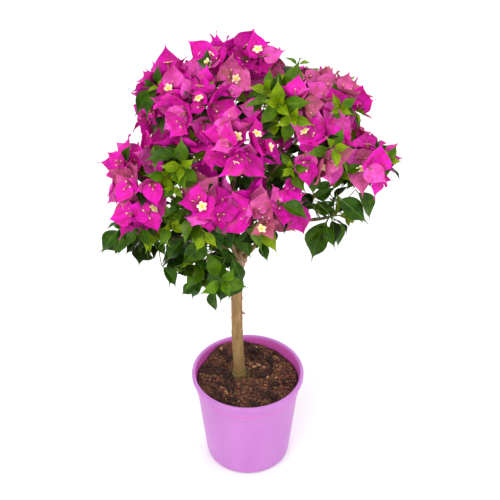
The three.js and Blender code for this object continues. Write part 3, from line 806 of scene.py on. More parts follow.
class Finish:
    """One material, built as a Principled surface and the nodes that feed it."""

    def __init__(self, name, roughness, **constants):
        self.material = bpy.data.materials.new(name)
        self.material.use_nodes = True
        self.tree = self.material.node_tree
        self.tree.nodes.clear()
        self.surface = self.tree.nodes.new("ShaderNodeBsdfPrincipled")
        output = self.tree.nodes.new("ShaderNodeOutputMaterial")
        self.tree.links.new(self.surface.outputs[0], output.inputs["Surface"])
        self.set("Roughness", roughness)
        for socket, value in constants.items():
            self.set(socket.replace("_", " "), value)
        self.place = self.node("ShaderNodeTexCoord", output="Object")

    def node(self, kind, settings=None, sockets=None, output=0):
        """Any node with its settings, then the values and links of its sockets."""
        made = self.tree.nodes.new(kind)
        for name, value in (settings or {}).items():
            if name == "stops":
                for i, (position, tone) in enumerate(value):
                    stop = made.color_ramp.elements[i] if i < 2 else made.color_ramp.elements.new(position)
                    stop.position = position
                    stop.color = tone
            else:
                setattr(made, name, value)
        for name, value in (sockets or {}).items():
            if isinstance(value, Wire):
                self.tree.links.new(value.socket, made.inputs[name])
            else:
                made.inputs[name].default_value = value
        return Wire(self, made.outputs[output])

    def set(self, socket, value):
        """Gives the surface a value or a link."""
        if isinstance(value, Wire):
            self.tree.links.new(value.socket, self.surface.inputs[socket])
        else:
            self.surface.inputs[socket].default_value = value

    def noise(self, scale, detail=2, place=None, roughness=0.5):
        """Smooth noise over the surface."""
        sockets = {"Vector": place or self.place, "Scale": scale, "Detail": detail, "Roughness": roughness}
        return self.node("ShaderNodeTexNoise", None, sockets)

    def stretched(self, x, y, z):
        """The place on the surface, scaled along each axis."""
        settings = {"vector_type": "POINT"}
        return self.node("ShaderNodeMapping", settings, {"Vector": self.place, "Scale": (x, y, z)})

    def height(self):
        """The height of the place on the surface, in metres."""
        return self.node("ShaderNodeSeparateXYZ", None, {"Vector": self.place}, 2)

    def graded(self, value, low, high, start, end):
        """A number that goes from its start to its end while a value goes from low to high."""
        return self.node("ShaderNodeMapRange", None, {"Value": value, 1: low, 2: high, 3: start, 4: end})

    def mix(self, share, first, second):
        """A colour between two."""
        return self.node("ShaderNodeMix", {"data_type": "RGBA"}, {0: share, 6: first, 7: second}, 2)

    def ramp(self, share, *stops):
        """A colour that changes from stop to stop."""
        return self.node("ShaderNodeValToRGB", {"stops": stops}, {"Fac": share})

    def bump(self, height, strength, depth):
        """Makes the surface look uneven, to a depth in millimetres."""
        sockets = {"Strength": strength, "Distance": depth * MM, "Height": height}
        self.set("Normal", self.node("ShaderNodeBump", None, sockets))


def papery(name, tone, deeper, patch=None):
    """A bract: thin, finely wrinkled and veined, with the tone of its spray and, if given, dull patches."""
    finish = Finish(name, 0.6, Specular_IOR_Level=0.22)
    cloud = finish.noise(150, 4, roughness=0.62)
    shown = finish.ramp(cloud, (0.4, tone), (0.64, deeper))
    if patch:
        spread = finish.noise(95, 3, roughness=0.6)
        shown = finish.mix(finish.graded(spread, 0.54, 0.68, 0.0, 0.8), shown, patch)
    sockets = {"Vector": finish.place, "Scale": 190}
    nerve = finish.node("ShaderNodeTexVoronoi", {"feature": "DISTANCE_TO_EDGE"}, sockets)
    finish.set("Base Color", finish.mix(finish.graded(nerve, 0.0, 0.11, 0.6, 0.0), shown, deeper))
    wrinkle = finish.noise(700, 3)
    finish.bump(wrinkle * 0.6 + nerve * 0.9, 0.6, 0.45)
    return finish.material


def leafy(name, tone, deeper, roughness):
    """A leaf: smooth and a little glossy, with the tone of its spray."""
    finish = Finish(name, roughness, Specular_IOR_Level=0.12)
    cloud = finish.noise(110, 2)
    finish.set("Base Color", finish.ramp(cloud, (0.36, tone), (0.64, deeper)))
    pores = finish.noise(1100, 2)
    finish.set("Roughness", roughness - 0.05 + 0.1 * pores)
    finish.bump(pores, 0.2, 0.12)
    return finish.material


def woody(name, tone, deeper, pale, roughness, foot=None):
    """Bark: streaked and cracked lengthwise, with paler flakes and, low down, another tone if given."""
    finish = Finish(name, roughness, Specular_IOR_Level=0.25)
    streak = finish.noise(1, 4, finish.stretched(420, 420, 60), 0.65)
    flake = finish.noise(1, 3, finish.stretched(160, 160, 55))
    cracks = finish.ramp(streak, (0.3, deeper), (0.6, tone))
    shown = finish.mix(finish.graded(flake, 0.5, 0.7, 0.0, 0.8), cracks, pale)
    if foot:
        uneven = finish.height() + 0.05 * finish.noise(60, 3)
        shown = finish.mix(finish.graded(uneven, *OLIVE_FOOT, 0.75, 0.0), shown, foot)
    finish.set("Base Color", shown)
    fine = finish.noise(1, 4, finish.stretched(1500, 1500, 300), 0.6)
    finish.set("Roughness", roughness - 0.1 + 0.2 * fine)
    finish.bump(streak * 0.7 + fine * 0.3, 0.6, 0.5)
    return finish.material


def moulded(name, tone, deeper, inside, lip):
    """Thin moulded plastic: satin, with faint flow marks, a fine grain and its inside in another, pinker
    tone: painted light, as light shines through the thin wall.
    """
    finish = Finish(name, 0.42, Specular_IOR_Level=0.5)
    flow = finish.noise(1, 3, finish.stretched(28, 28, 7))
    grain = finish.noise(1500, 2)
    # the inner wall above the mix takes the inside tone, painted light that stands for the glow through the
    # thin plastic
    level = finish.stretched(1, 1, 0)
    off_axis = finish.node("ShaderNodeVectorMath", {"operation": "LENGTH"}, {0: level}, 1)
    inner = finish.graded(off_axis, (lip - 5.4) * MM, (lip - 4.2) * MM, 1.0, 0.0)
    high = finish.graded(finish.height(), *POT_INSIDE, 0.0, 1.0)
    shown = finish.mix(flow * 1.6 - 0.3, tone, deeper)
    finish.set("Base Color", finish.mix(inner * high, shown, inside))
    finish.set("Roughness", 0.36 + 0.14 * flow)
    finish.bump(grain * 0.5 + flow * 0.5, 0.12, 0.3)
    return finish.material


def earthy(name, tone, deeper, scale=700, patch=None):
    """Crumbs of potting mix: matt, moist and uneven in colour, with wide moist patches if given."""
    finish = Finish(name, 0.9, Specular_IOR_Level=0.25)
    cloud = finish.noise(scale, 4, roughness=0.7)
    shown = finish.ramp(cloud, (0.36, deeper), (0.64, tone))
    if patch:
        wide = finish.noise(55, 2)
        shown = finish.mix(finish.graded(wide, 0.46, 0.6, 0.0, 0.75), shown, patch)
    finish.set("Base Color", shown)
    finish.set("Roughness", 1.0 - 0.35 * cloud)
    finish.bump(cloud, 0.7, 0.6)
    return finish.material


# Tones: of bracts with their deeper and duller ones, and of leaves with their deeper one and roughness
BRACT_TONES = {
    "bright": (colour(240, 20, 202), colour(194, 30, 130), colour(180, 66, 98)),
    # "deep": the magenta as it looks in shade, painted shade dealt out at random by spray
    "deep": (colour(222, 6, 182), colour(170, 20, 118), colour(156, 58, 82)),
    # "light": the magenta as it looks in highlight, painted highlight dealt out at random by spray
    "light": (colour(242, 92, 212), colour(206, 68, 148), colour(200, 92, 118)),
    "faded": (colour(228, 100, 182), colour(192, 82, 128), colour(168, 106, 94)),
    "dusky": (colour(208, 88, 146), colour(166, 86, 98), colour(142, 108, 70)),
}
# a paler sister is painted highlight and a deeper one painted shade, partly also tone that differs at
# random
SISTER_TONES = {
    "bright": ["deep", "light"],
    "deep": ["bright"],
    "light": ["bright"],
    "faded": ["dusky", "light"],
    "dusky": ["faded"],
}
LEAF_TONES = {
    "glossy": (colour(46, 84, 2), colour(28, 58, 2), 0.3),
    "dark": (colour(56, 90, 2), colour(36, 66, 2), 0.36),
    "fresh": (colour(92, 130, 2), colour(68, 106, 2), 0.42),
    "mid": (colour(82, 116, 4), colour(58, 94, 2), 0.36),
    # "sheen": a paler grey-green that paints the sheen of light on glossy leaves, dealt out at random by
    # spray
    "sheen": (colour(92, 122, 30), colour(66, 98, 18), 0.36),
    "lime": (colour(124, 146, 2), colour(92, 124, 2), 0.46),
    # "shade": far darker than any real leaf, painted shade for the leaves deep inside the masses
    "shade": (colour(28, 50, 4), colour(16, 32, 3), 0.36),
}

# Florets: for each piece its heap, its finish and its tones
FLORET_PARTS = {
    "floret_tubes": (["floret_tube"], "floret_tube", colour(158, 118, 78), colour(150, 88, 84)),
    "cream_buds": (["bud", "cream"], "cream_bud", colour(238, 214, 172), colour(226, 180, 150)),
    "rose_buds": (["bud", "rose"], "rose_bud", colour(238, 164, 168), colour(224, 122, 146)),
    "star_flowers": (["star"], "star_cream", colour(250, 246, 204), colour(246, 238, 166)),
    "star_throats": (["throat"], "star_throat", colour(240, 222, 80), colour(226, 202, 56)),
}


def crumbs(count, sizes, flatness, light, *tones):
    """One kind of crumb; light ones keep to the patches above 0, dark ones to those below."""
    return dict(count=count, sizes=sizes, flatness=flatness, light=light, tones=tones)


CRUMB_KINDS = {
    "dark_crumbs": crumbs(900, (0.8, 3), 0.8, -1, colour(70, 44, 36), colour(34, 22, 18)),
    "dark_clods": crumbs(170, (2.4, 5.6), 0.75, -1, colour(60, 38, 34), colour(28, 18, 16)),
    "brown_crumbs": crumbs(760, (0.8, 3), 0.75, 1, colour(126, 82, 60), colour(86, 54, 40)),
    "olive_crumbs": crumbs(200, (0.8, 2.6), 0.6, 1, colour(116, 98, 58), colour(78, 64, 40)),
    "red_crumbs": crumbs(360, (0.8, 2.8), 0.6, 1, colour(132, 74, 62), colour(90, 46, 40)),
    "bark_bits": crumbs(120, (1.6, 4.2), 0.35, 1, colour(138, 96, 68), colour(92, 60, 44)),
    "tan_chips": crumbs(44, (1.2, 3.4), 0.4, 1, colour(180, 134, 92), colour(134, 94, 62)),
    "white_specks": crumbs(9, (0.8, 1.4), 0.9, 1, colour(232, 222, 205), colour(200, 188, 170)),
}


# The outline and the shape of leaves and bracts
COLUMNS = np.array([[-1, -0.62, -0.2, 0, 0.2, 0.62, 1]])
RIB_COLUMN = 3


def blade_faces(rows, columns):
    """Triangles of a blade whose last point is its tip."""
    faces = grid_faces(rows, columns, False)
    last = (rows - 1) * columns
    here = np.arange(columns - 1)
    tip = np.stack([last + here, last + here + 1, np.full(columns - 1, rows * columns)], 1)
    return np.concatenate([faces, tip])


FACES = {kind: blade_faces(shape["rows"], COLUMNS.size) for kind, shape in BLADES.items()}


def row_places(kind):
    """How far along a blade its rows lie, closer together at both ends."""
    steps = np.linspace(0, 1, BLADES[kind]["rows"] + 1)[:, None]
    return (steps + (1 - np.cos(math.pi * steps)) / 2) / 2


def outline(kind, forward, chance):
    """Half the width of a blade at places along it, and its whole width."""
    shape = BLADES[kind]
    width = shape["width"] * chance.uniform(*shape["widths"])
    widest = chance.uniform(*WIDEST)
    bell = np.maximum(np.sin(math.pi * forward ** (math.log(0.5) / math.log(widest))), 0)
    return bell ** between(*shape["ends"], forward) * width / 2, width


def not_thin(half, forward, least):
    """Keeps a blade some width up to its pointed end."""
    return np.maximum(half, least * np.minimum((1 - forward) / POINT_SHARE, 1))


def ruffled(kind, forward, half, width, lift, chance, blade=1, narrowed=1):
    """A blade's points, its tip last: its sides fold up, its edge ripples and its face twists."""
    shape = BLADES[kind]
    sides = np.abs(COLUMNS)
    fold = chance.uniform(*shape["folds"]) * sides * half
    turns, phase = chance.uniform(*shape["ripples"]), chance.uniform(0, FULL_TURN)
    ripple = np.sin(turns * FULL_TURN * forward + phase + COLUMNS)
    wave = chance.uniform(*shape["waves"]) * COLUMNS**2 * ripple * (half / width) * 2
    vein = np.sin(FULL_TURN * (shape["veins"] * forward - shape["vein_slant"] * sides))
    veins = shape["vein_depth"] * vein * blade * (1 - forward)
    twist = chance.uniform(-TWIST, TWIST) * COLUMNS * forward * narrowed
    raised = lift + fold + wave + veins + twist
    grid = np.stack(np.broadcast_arrays(COLUMNS * half, forward * shape["length"], raised), axis=-1)
    return np.concatenate([grid[:-1].reshape(-1, 3), grid[-1, RIB_COLUMN][None]])


def bract_blade(chance):
    """A bract of full size: it bellies out round its flower, folds along its rib and flares at its tip."""
    forward = row_places("bract")
    half, width = outline("bract", forward, chance)
    half = not_thin(half, forward, BRACT_POINT)
    belly = -chance.uniform(*BRACT_BELLY) * np.sin(math.pi * np.minimum(forward * BELLY_PACE, 1))
    flare = -chance.uniform(*BRACT_FLARE) * (np.maximum(forward - FLARE_FROM, 0) / (1 - FLARE_FROM)) ** 2
    return ruffled("bract", forward, half, width, belly + flare, chance)


def leaf_blade(chance):
    """A leaf of full size: a thin stalk, then a blade that folds along its rib and droops to a long tip."""
    forward = row_places("leaf")
    blade = np.maximum((forward - STALK_SHARE) / (1 - STALK_SHARE), 0)
    half, width = outline("leaf", blade, chance)
    half = not_thin(half, forward, STALK_WIDTH / 2 * (1 - STALK_TAPER * forward))
    arch = chance.uniform(*LEAF_ARCH) * np.sin(math.pi * forward)
    curl = -LEAF_CURL * chance.uniform(*CURL_SHARES) * forward**CURL_POWER
    return ruffled("leaf", forward, half, width, arch + curl, chance, blade, half / width)


SHAPES = {"bract": bract_blade, "leaf": leaf_blade}


class Blade:
    """A leaf or bract that grows from its root along a direction, with its face to another."""

    def __init__(self, kind, local, root, along, face, size):
        self.kind = kind
        self.root = root
        self.along = along
        self.normal = aside(face, along)
        self.side = np.cross(along, self.normal)
        self.size = size
        self.points = root + local @ np.stack([self.side, along, self.normal]) * size
        self.middle = self.points.mean(axis=0)
        self.reach = np.linalg.norm(self.points - self.middle, axis=1).max()
        self.tree = BVHTree.FromPolygons(self.points.tolist(), FACES[kind].tolist(), all_triangles=True)

    def rib(self):
        """A narrow raised strip along the upper side of the rib."""
        middles = self.points[RIB_COLUMN :: COLUMNS.size]
        middles = middles[: BLADES[self.kind]["rows"]] + self.normal * RIB_LIFT
        share = np.linspace(1, RIB_END_SHARE, len(middles))[:, None]
        aside_by = self.side * RIB_HALF_WIDTH * self.size * share
        return np.stack([middles - aside_by, middles + aside_by], 1).reshape(-1, 3)


def blade_between(kind, places, lean, chance):
    """A blade from its root to its tip, as the photo shows them, with its face to the front."""
    root, tip = np.array(places, float)
    size = np.linalg.norm(tip - root) / BLADES[kind]["length"]
    face = FRONT + lean * square(FRONT, chance.uniform(0, FULL_TURN))
    return Blade(kind, SHAPES[kind](chance), root, unit(tip - root), face, size)


class Growth:
    """Everything that the plant has grown so far, in heaps by kind and tone."""

    MOST_BLADES = 12000

    def __init__(self):
        self.heaps = {}
        self.florets = []
        self.leaves_below = []
        self.blades = []
        self.middles = np.zeros((self.MOST_BLADES, 3))
        self.reaches = np.zeros(self.MOST_BLADES)

    def heap(self, kind, tone=""):
        """The heap of one kind and tone."""
        return self.heaps.setdefault((kind, tone), Heap())

    def clear(self, blade):
        """Whether a blade cuts through none of those that have grown, though bracts may press together."""
        count = len(self.blades)
        apart = np.linalg.norm(self.middles[:count] - blade.middle, axis=1)
        near = np.flatnonzero(apart < self.reaches[:count] + blade.reach)
        for i in near:
            other = self.blades[i]
            allowed = PRESSED if other.kind == blade.kind == "bract" else 0
            if len(blade.tree.overlap(other.tree)) > allowed:
                return False
        return True

    def fitted(self, kind, root, directions, face, size, mass, chance, limit=REACH_LIMIT):
        """The largest blade, along the first direction, that stays in reach and clear; or none."""
        local = SHAPES[kind](chance)
        for share in SIZES_TRIED:
            for along in directions:
                blade = Blade(kind, local, root, along, face, size * share)
                if reached(mass, blade.points[-1]) > limit:
                    continue
                if limit == REACH_LIMIT and share_within(blade.points, SKY_IN_PHOTO):
                    continue
                if kind == "bract" and without_bracts(blade.points):
                    continue
                if self.clear(blade):
                    return blade
        return None

    def keep(self, blade, tone):
        """Grows a blade, with a pale rib if it is a leaf."""
        count = len(self.blades)
        self.middles[count] = blade.middle
        self.reaches[count] = blade.reach
        self.blades.append(blade)
        self.heap(blade.kind, tone).add(blade.points, FACES[blade.kind])
        if blade.kind == "leaf":
            strip = blade.rib()
            ribs = self.heap("rib", "young" if tone == "lime" else "")
            ribs.add(strip, grid_faces(len(strip) // 2, 2, False))

    def twig(self, kind, start, end, run, chance):
        """Adds a slightly bowed twig and returns its path."""
        radius, tip_radius, bow, sides = TWIGS[kind]
        middle = (start + end) / 2 + square(unit(end - start), chance.uniform(0, FULL_TURN)) * (bow * run)
        path = bezier(start, middle, end)
        steps = max(3, int(path.length / TWIG_STEP) + 1)
        shares = np.linspace(0, 1, steps + 1)
        knots = 1 + TWIG_KNOT_SWELL * np.sin(shares * path.length / TWIG_KNOT_STEP)
        radii = between(radius, tip_radius, shares) * knots
        self.heap("green_wood").add(*tube(path.point(shares), radii, sides))
        return path

    def add_floret(self, bract, heading, chance):
        """A floret on the rib of a bract, which leans from a heading towards it."""
        base = bract.root + bract.along * FLORET_STEP
        length = chance.uniform(*FLORET_LENGTHS) * bract.size
        self.florets.append((base, unit(heading + bract.along), length))


def reached(mass, point):
    """How far a point is from a mass's centre, where its reach is 1."""
    return np.linalg.norm((point - mass["centre"]) / mass["reach"])


def nearest(places, place):
    """The nearest of some places to another one, and how far off it is."""
    apart = np.linalg.norm(places - place, axis=1)
    return places[apart.argmin()], apart.min()


def spread_out(i, count, seed, turn=0):
    """One of some directions that are spread evenly over a ball."""
    height = 1 - (2 * i + 1) / count
    level = math.sqrt(1 - height * height)
    angle = GOLDEN_ANGLE * i + seed + turn
    return np.array([level * math.cos(angle), level * math.sin(angle), height])


def tilted(axis, out, tilt):
    """A direction that leans away from an axis towards one square to it."""
    return axis * math.cos(tilt) + out * math.sin(tilt)


# What the photo shows at a place
def in_photo(places):
    """Where places fall in the photo, in its pixels, and how far ahead of the camera they are."""
    pitch = math.radians(CAMERA_PITCH)
    off = np.atleast_2d(places) - np.array(CAMERA_PLACE)
    ahead = off @ np.array([0, math.cos(pitch), -math.sin(pitch)])
    above = off @ np.array([0, math.sin(pitch), math.cos(pitch)])
    focal = PHOTO_SIDE * CAMERA_LENS / CAMERA_SENSOR
    return PHOTO_SIDE / 2 + focal * off[:, 0] / ahead, PHOTO_SIDE / 2 - focal * above / ahead, ahead


def at_spot(place, spots):
    """Whether a place is on the side that the photo shows and at one of its spots."""
    x, y, _ = in_photo(place)
    return place[1] < SHOWN_SIDE and any(math.hypot(x[0] - a, y[0] - b) < SPOT_REACH for a, b in spots)


def share_within(places, spots):
    """The share of some places that fall within the reach of spots in the photo."""
    x, y, _ = in_photo(places)
    off = np.hypot(x[:, None] - spots[:, 0], y[:, None] - spots[:, 1])
    return (off < spots[:, 2]).any(axis=1).mean()


def in_window(places):
    """Whether a good part of some places is on the side that the photo shows and in its leafy windows."""
    return places[:, 1].mean() < SHOWN_SIDE and share_within(places, LEAFY_IN_PHOTO) > WINDOW_SHARE


def without_bracts(places):
    """Whether the photo shows no blossom where a good part of some places is."""
    if places[:, 1].mean() > SHOWN_SIDE:
        return False
    return share_within(places, np.concatenate([LEAFY_IN_PHOTO, BARE_IN_PHOTO])) > WINDOW_SHARE


def tone_of(kind, mass, place, chance):
    """The tone of a spray: as the photo shows it there, else by the mass's share of faded or young ones."""
    draw = chance.random() / (SHOWN_SHARE if place[1] < SHOWN_SIDE else 1)
    if kind == "bract":
        shown_faded = place[1] < SHOWN_SIDE and share_within(place[None], FADED_IN_PHOTO)
        return chance.choice(FADED_ONES if shown_faded or draw < mass["faded"] else BRIGHT_ONES)
    if at_spot(place, LIME_IN_PHOTO) or draw < mass["young"]:
        return "lime"
    return chance.choice(mass.get("greens", GREENS))


def sister_tone(tone, chance):
    """A bract of the same blossom may be a little paler, a painted highlight, or deeper, painted shade;
    either also varies the tone at random.
    """
    return chance.choice(SISTER_TONES[tone]) if chance.random() < SISTER_SHARE else tone


# Sprays
def blossom(growth, mass, base, axis, run, draw, chance, aim=None, scale=1):
    """Three bracts round a stalk, each with a floret on its rib; false without room."""
    start = aside(aim, axis) if aim is not None else square(axis, draw() * FULL_TURN)
    tone = tone_of("bract", mass, base, chance)
    bracts = []
    for i in range(BRACTS):
        tilt = BRACT_TILT + BRACT_TILT_SPREAD * (draw() * 2 - 1)
        size = between(*BRACT_SIZES, draw()) * scale
        out = rotated(start, axis, FULL_TURN * i / BRACTS)
        root = base - axis * min(BRACT_STEP * i, run)
        if aim is not None and i == 0:
            bracts.append(Blade("bract", bract_blade(chance), root, aim, FRONT, AIMED_SIZE))
            continue
        ways = [tilted(axis, out, tilt * lean) for lean in BRACT_LEANS]
        blade = growth.fitted("bract", root, ways, axis, size, mass, chance)
        if blade:
            bracts.append(blade)
    if len(bracts) < 2 and aim is None:
        return False
    for blade in bracts:
        growth.keep(blade, sister_tone(tone, chance))
        growth.add_floret(blade, axis * FLORET_LEAN, chance)
    turn, leaf_size = draw(), between(*SMALL_LEAF_SIZES, draw())
    if chance.random() > LEAVES_HIDDEN * mass["flowering"]:
        root = base - axis * min(BRACT_STEP * BRACTS + LEAF_GAP / 2, run)
        along = unit(square(axis, turn * FULL_TURN) + axis * SMALL_LEAF_RISE - UP * SMALL_LEAF_DROOP)
        growth.leaves_below.append((mass, root, along, axis, leaf_size, chance))
    return True


def grow_leaves_below(growth):
    """The small leaves below blossoms, wherever the bracts leave them room."""
    for mass, root, along, axis, size, chance in growth.leaves_below:
        leaf = growth.fitted("leaf", root, [along], axis, size, mass, chance)
        if leaf:
            growth.keep(leaf, tone_of("leaf", mass, root, chance))


def leafy_shoot(growth, mass, base, axis, run, draw, chance, aim=None, scale=1):
    """Leaves round a shoot's end that droop a little, small ones at its tip; false without room."""
    turn = draw() * FULL_TURN
    tone = tone_of("leaf", mass, base, chance)
    leaves = []
    for i in range(LEAVES_IN_SPRAY):
        tilt = LEAF_TILT + LEAF_TILT_STEP * i
        size = between(*LEAF_SIZES, draw()) * scale * (YOUNG_SIZE if tone == "lime" else 1)
        root = base - axis * min(LEAF_GAP * i, run)
        along = tilted(axis, square(axis, turn + GOLDEN_ANGLE * i), tilt)
        ways = [unit(along - UP * droop) for droop in (LEAF_DROOP, LEAF_DROOP_MOST)]
        if aim is not None and i == 0:
            leaves.append(Blade("leaf", leaf_blade(chance), root, aim, FRONT, AIMED_SIZE))
            continue
        blade = growth.fitted("leaf", root, ways, UP + axis, size, mass, chance)
        if blade:
            leaves.append(blade)
    for blade in leaves:
        growth.keep(blade, tone)
    if not leaves:
        return False
    tip_tone = "lime" if tone == "lime" or chance.random() < LIME_TIP_SHARE else tone
    young = []
    for i in range(TIP_LEAVES):
        out = square(axis, turn + TIP_TURN + GOLDEN_ANGLE * i)
        along = tilted(axis, out, TIP_TILT + TIP_TILT_STEP * i)
        root = base - axis * min(TIP_GAP * i, run)
        size = chance.uniform(*TIP_SIZES) + TIP_SIZE_STEP * i
        blade = growth.fitted("leaf", root, [along], axis, size, mass, chance)
        if blade:
            young.append(blade)
    for blade in young:
        growth.keep(blade, tip_tone)
    return True


def young_shoot(growth, mass, place, scale, chance):
    """A rosette of young leaves, the smallest at its tip."""
    near, run = nearest(np.array(mass["joints"]), place)
    axis = unit(unit(place - near) + SHOOT_FACING * FRONT)
    turn = chance.uniform(0, FULL_TURN)
    limit = mass.get("shoot_limit", SHOOT_LIMIT)
    for i in range(SHOOT_LEAVES):
        along = tilted(axis, square(axis, turn + GOLDEN_ANGLE * i), SHOOT_TILT + SHOOT_TILT_STEP * i)
        size = (SHOOT_SIZE + SHOOT_SIZE_STEP * i) * scale
        leaf = growth.fitted("leaf", place - axis * SHOOT_GAP * i, [along], axis, size, mass, chance, limit)
        if leaf:
            growth.keep(leaf, mass.get("young_tone", "lime") if i < SHOOT_YOUNG else "mid")
    growth.twig("fine", near, place, run, chance)


def hung(stem, root):
    """Where a twig to a root leaves the stem, where it ends and how long it is."""
    near, run = nearest(stem, root)
    return near, root, run


def grow_shown(growth, mass):
    """The leaves and bracts that the photo shows one by one, hung from the nearest place on the stem."""
    stem = mass["twigs"][0].point(np.linspace(*SHOWN_FROM))
    for number, places in enumerate(mass.get("shown", [])):
        chance = random.Random(mass["seed"] + SHOWN_SEEDS + number)
        leaf = blade_between("leaf", places, SHOWN_LEAN, chance)
        growth.keep(leaf, chance.choice(SHOWN_TONES))
        growth.twig("shown", *hung(stem, leaf.root), chance)
    upper_stem = mass["twigs"][0].point(np.linspace(*PETALS_FROM))
    for number, (tone, *places) in enumerate(mass.get("petals", [])):
        chance = random.Random(mass["seed"] + PETAL_SEEDS + number)
        bract = blade_between("bract", places, PETAL_LEAN, chance)
        growth.keep(bract, tone)
        growth.add_floret(bract, FRONT, chance)
        growth.twig("shown", *hung(upper_stem, bract.root), chance)


# Masses
def sprays_of(mass):
    """Where a mass's sprays stand, what they bear and, for those at its tips, their aim."""
    sprays = []
    for kind, *place in mass["tips"]:
        if kind == "leaf" and "shown" in mass:
            continue
        tip = np.array(place, float)
        droop = TIP_DROOP if kind == "leaf" and tip[2] < mass["centre"][2] else 0
        aim = unit(unit(tip - mass["centre"]) - UP * droop)
        sprays.append((kind, tip - aim * BLADES[kind]["length"] * AIMED_SIZE, aim))
    for i in range(mass["sprays"]):
        draw = seeded(mass["seed"] + i)
        axis = spread_out(i, mass["sprays"], mass["seed"])
        if np.dot(axis, mass["inward"]) > INWARD_LIMIT:
            continue
        flowers = axis[2] > UNDERSIDE and draw() < mass["flowering"]
        share = (SPRAY_SHARE if flowers else LEAF_SPRAY_SHARE) * (1 + SPRAY_JITTER * (2 * draw() - 1))
        sprays.append(("bract" if flowers else "leaf", mass["centre"] + axis * mass["reach"] * share, None))
    return sprays


def start_mass(growth, mass, start, heading):
    """A mass's stem, the joints that its twigs leave and the sprays that it is to bear."""
    mass["inward"] = unit(start - mass["centre"])
    far = mass["centre"] - mass["inward"] * STEM_REACH * min(mass["reach"])
    stem = bezier(start, start + heading * np.linalg.norm(far - start) / 2, far)
    shares = np.linspace(0, 1, 9)
    radii = between(BOUGH_TIP_RADIUS, STEM_TIP_RADIUS, shares)
    growth.heap("young_wood").add(*tube(stem.point(shares), radii, 8))
    count = int(stem.length / JOINT_STEP)
    mass["joints"] = [stem.point((i + 0.5) / count) for i in range(count)]
    mass["twigs"] = [stem]
    mass["to_bear"] = dict(enumerate(sprays_of(mass)))


def grow_spray(growth, mass, number, grow):
    """One of a mass's own sprays, on a twig from the nearest free joint; false without room."""
    _, base, aim = mass["to_bear"][number]
    joints = mass["joints"]
    if not joints:
        return False
    draw = seeded(mass["seed"] + TWIG_SEEDS + number)
    chance = random.Random(mass["seed"] + TWIG_SEEDS + number)
    near = min(range(len(joints)), key=lambda i: np.linalg.norm(joints[i] - base))
    run = np.linalg.norm(base - joints[near])
    axis = unit(base - joints[near])
    if not grow(growth, mass, base, axis, run, draw, chance, aim):
        return False
    mass["twigs"].append(growth.twig("spray", joints.pop(near), base, run, chance))
    return True


def grow_aimed(growth, mass):
    """The sprays at a mass's tips."""
    for number, (kind, _, aim) in list(mass["to_bear"].items()):
        if aim is not None:
            grow_spray(growth, mass, number, blossom if kind == "bract" else leafy_shoot)
            del mass["to_bear"][number]


def grow_blossoms(growth, mass):
    """The rest of a mass's blossoms; those that find no room are left to be leafy."""
    for number, (kind, _, _) in list(mass["to_bear"].items()):
        if kind == "bract" and grow_spray(growth, mass, number, blossom):
            del mass["to_bear"][number]


def grow_leafy(growth, mass):
    """A mass's leafy sprays, without those that the photo's gaps leave out."""
    chance = random.Random(mass["seed"])
    for number, (kind, _, _) in mass["to_bear"].items():
        kept = mass.get("kept", 1) if kind == "leaf" else 1 - mass["flowering"] / 2
        if chance.random() < kept:
            grow_spray(growth, mass, number, leafy_shoot)


def grow_finer(growth, mass, grow, count, seed, only_windows=False):
    """Finer sprays between a mass's own, on side twigs of the nearest twigs, facing out of the crown."""
    places = np.concatenate([twig.point(np.linspace(*FINE_FROM)) for twig in mass["twigs"]])
    for i in range(count):
        number = mass["seed"] + seed + i
        draw, chance = seeded(number), random.Random(number)
        out = spread_out(i, count, mass["seed"], FINE_TURN)
        base = mass["centre"] + out * mass["reach"] * between(*FINE_SHARE, chance.random())
        outward = unit(base - CROWN_MIDDLE)
        if np.dot(out, mass["inward"]) > INWARD_LIMIT or np.dot(out, outward) < INSIDE_FACING:
            continue
        if grow is blossom and out[2] < FINE_UNDERSIDE:
            continue
        if only_windows and not (in_window(base[None]) or share_within(base[None], FILLED_IN_PHOTO)):
            continue
        near, run = nearest(places, base)
        if run < LEAST_TWIG:
            continue
        axis = unit(unit(base - near) + SIDE_LEAN * out + OUTWARD_LEAN * outward)
        scale = chance.uniform(*FINE_SIZES)
        if grow(growth, mass, base, axis, run, draw, chance, None, scale):
            growth.twig("fine", near, base, run, chance)


def grow_inside(growth, mass):
    """Leaves on short stalks deep inside a mass, in a very dark tone that paints the shade there."""
    places = np.concatenate([twig.point(np.linspace(*STALKS_FROM)) for twig in mass["twigs"]])
    chance = random.Random(mass["seed"] + INSIDE_SEEDS)
    for _ in range(int(INSIDE_LEAVES * mass.get("kept", 1))):
        out = unit(np.array([chance.gauss(0, 1) for _ in range(3)]))
        base = mass["centre"] + out * mass["reach"] * between(*INSIDE_SHARE, chance.random())
        near, run = nearest(places, base)
        if run < LEAST_STALK:
            continue
        along = unit(unit(base - near) + INSIDE_LEAN * out - UP * INSIDE_DROOP)
        face = unit(UP + INSIDE_TILT * square(UP, chance.uniform(0, FULL_TURN)))
        blade = growth.fitted("leaf", base, [along], face, chance.uniform(*INSIDE_SIZES), mass, chance)
        if blade:
            # kept in the very dark tone, painted shade
            growth.keep(blade, "shade")
            growth.twig("stalk", near, base, run, chance)


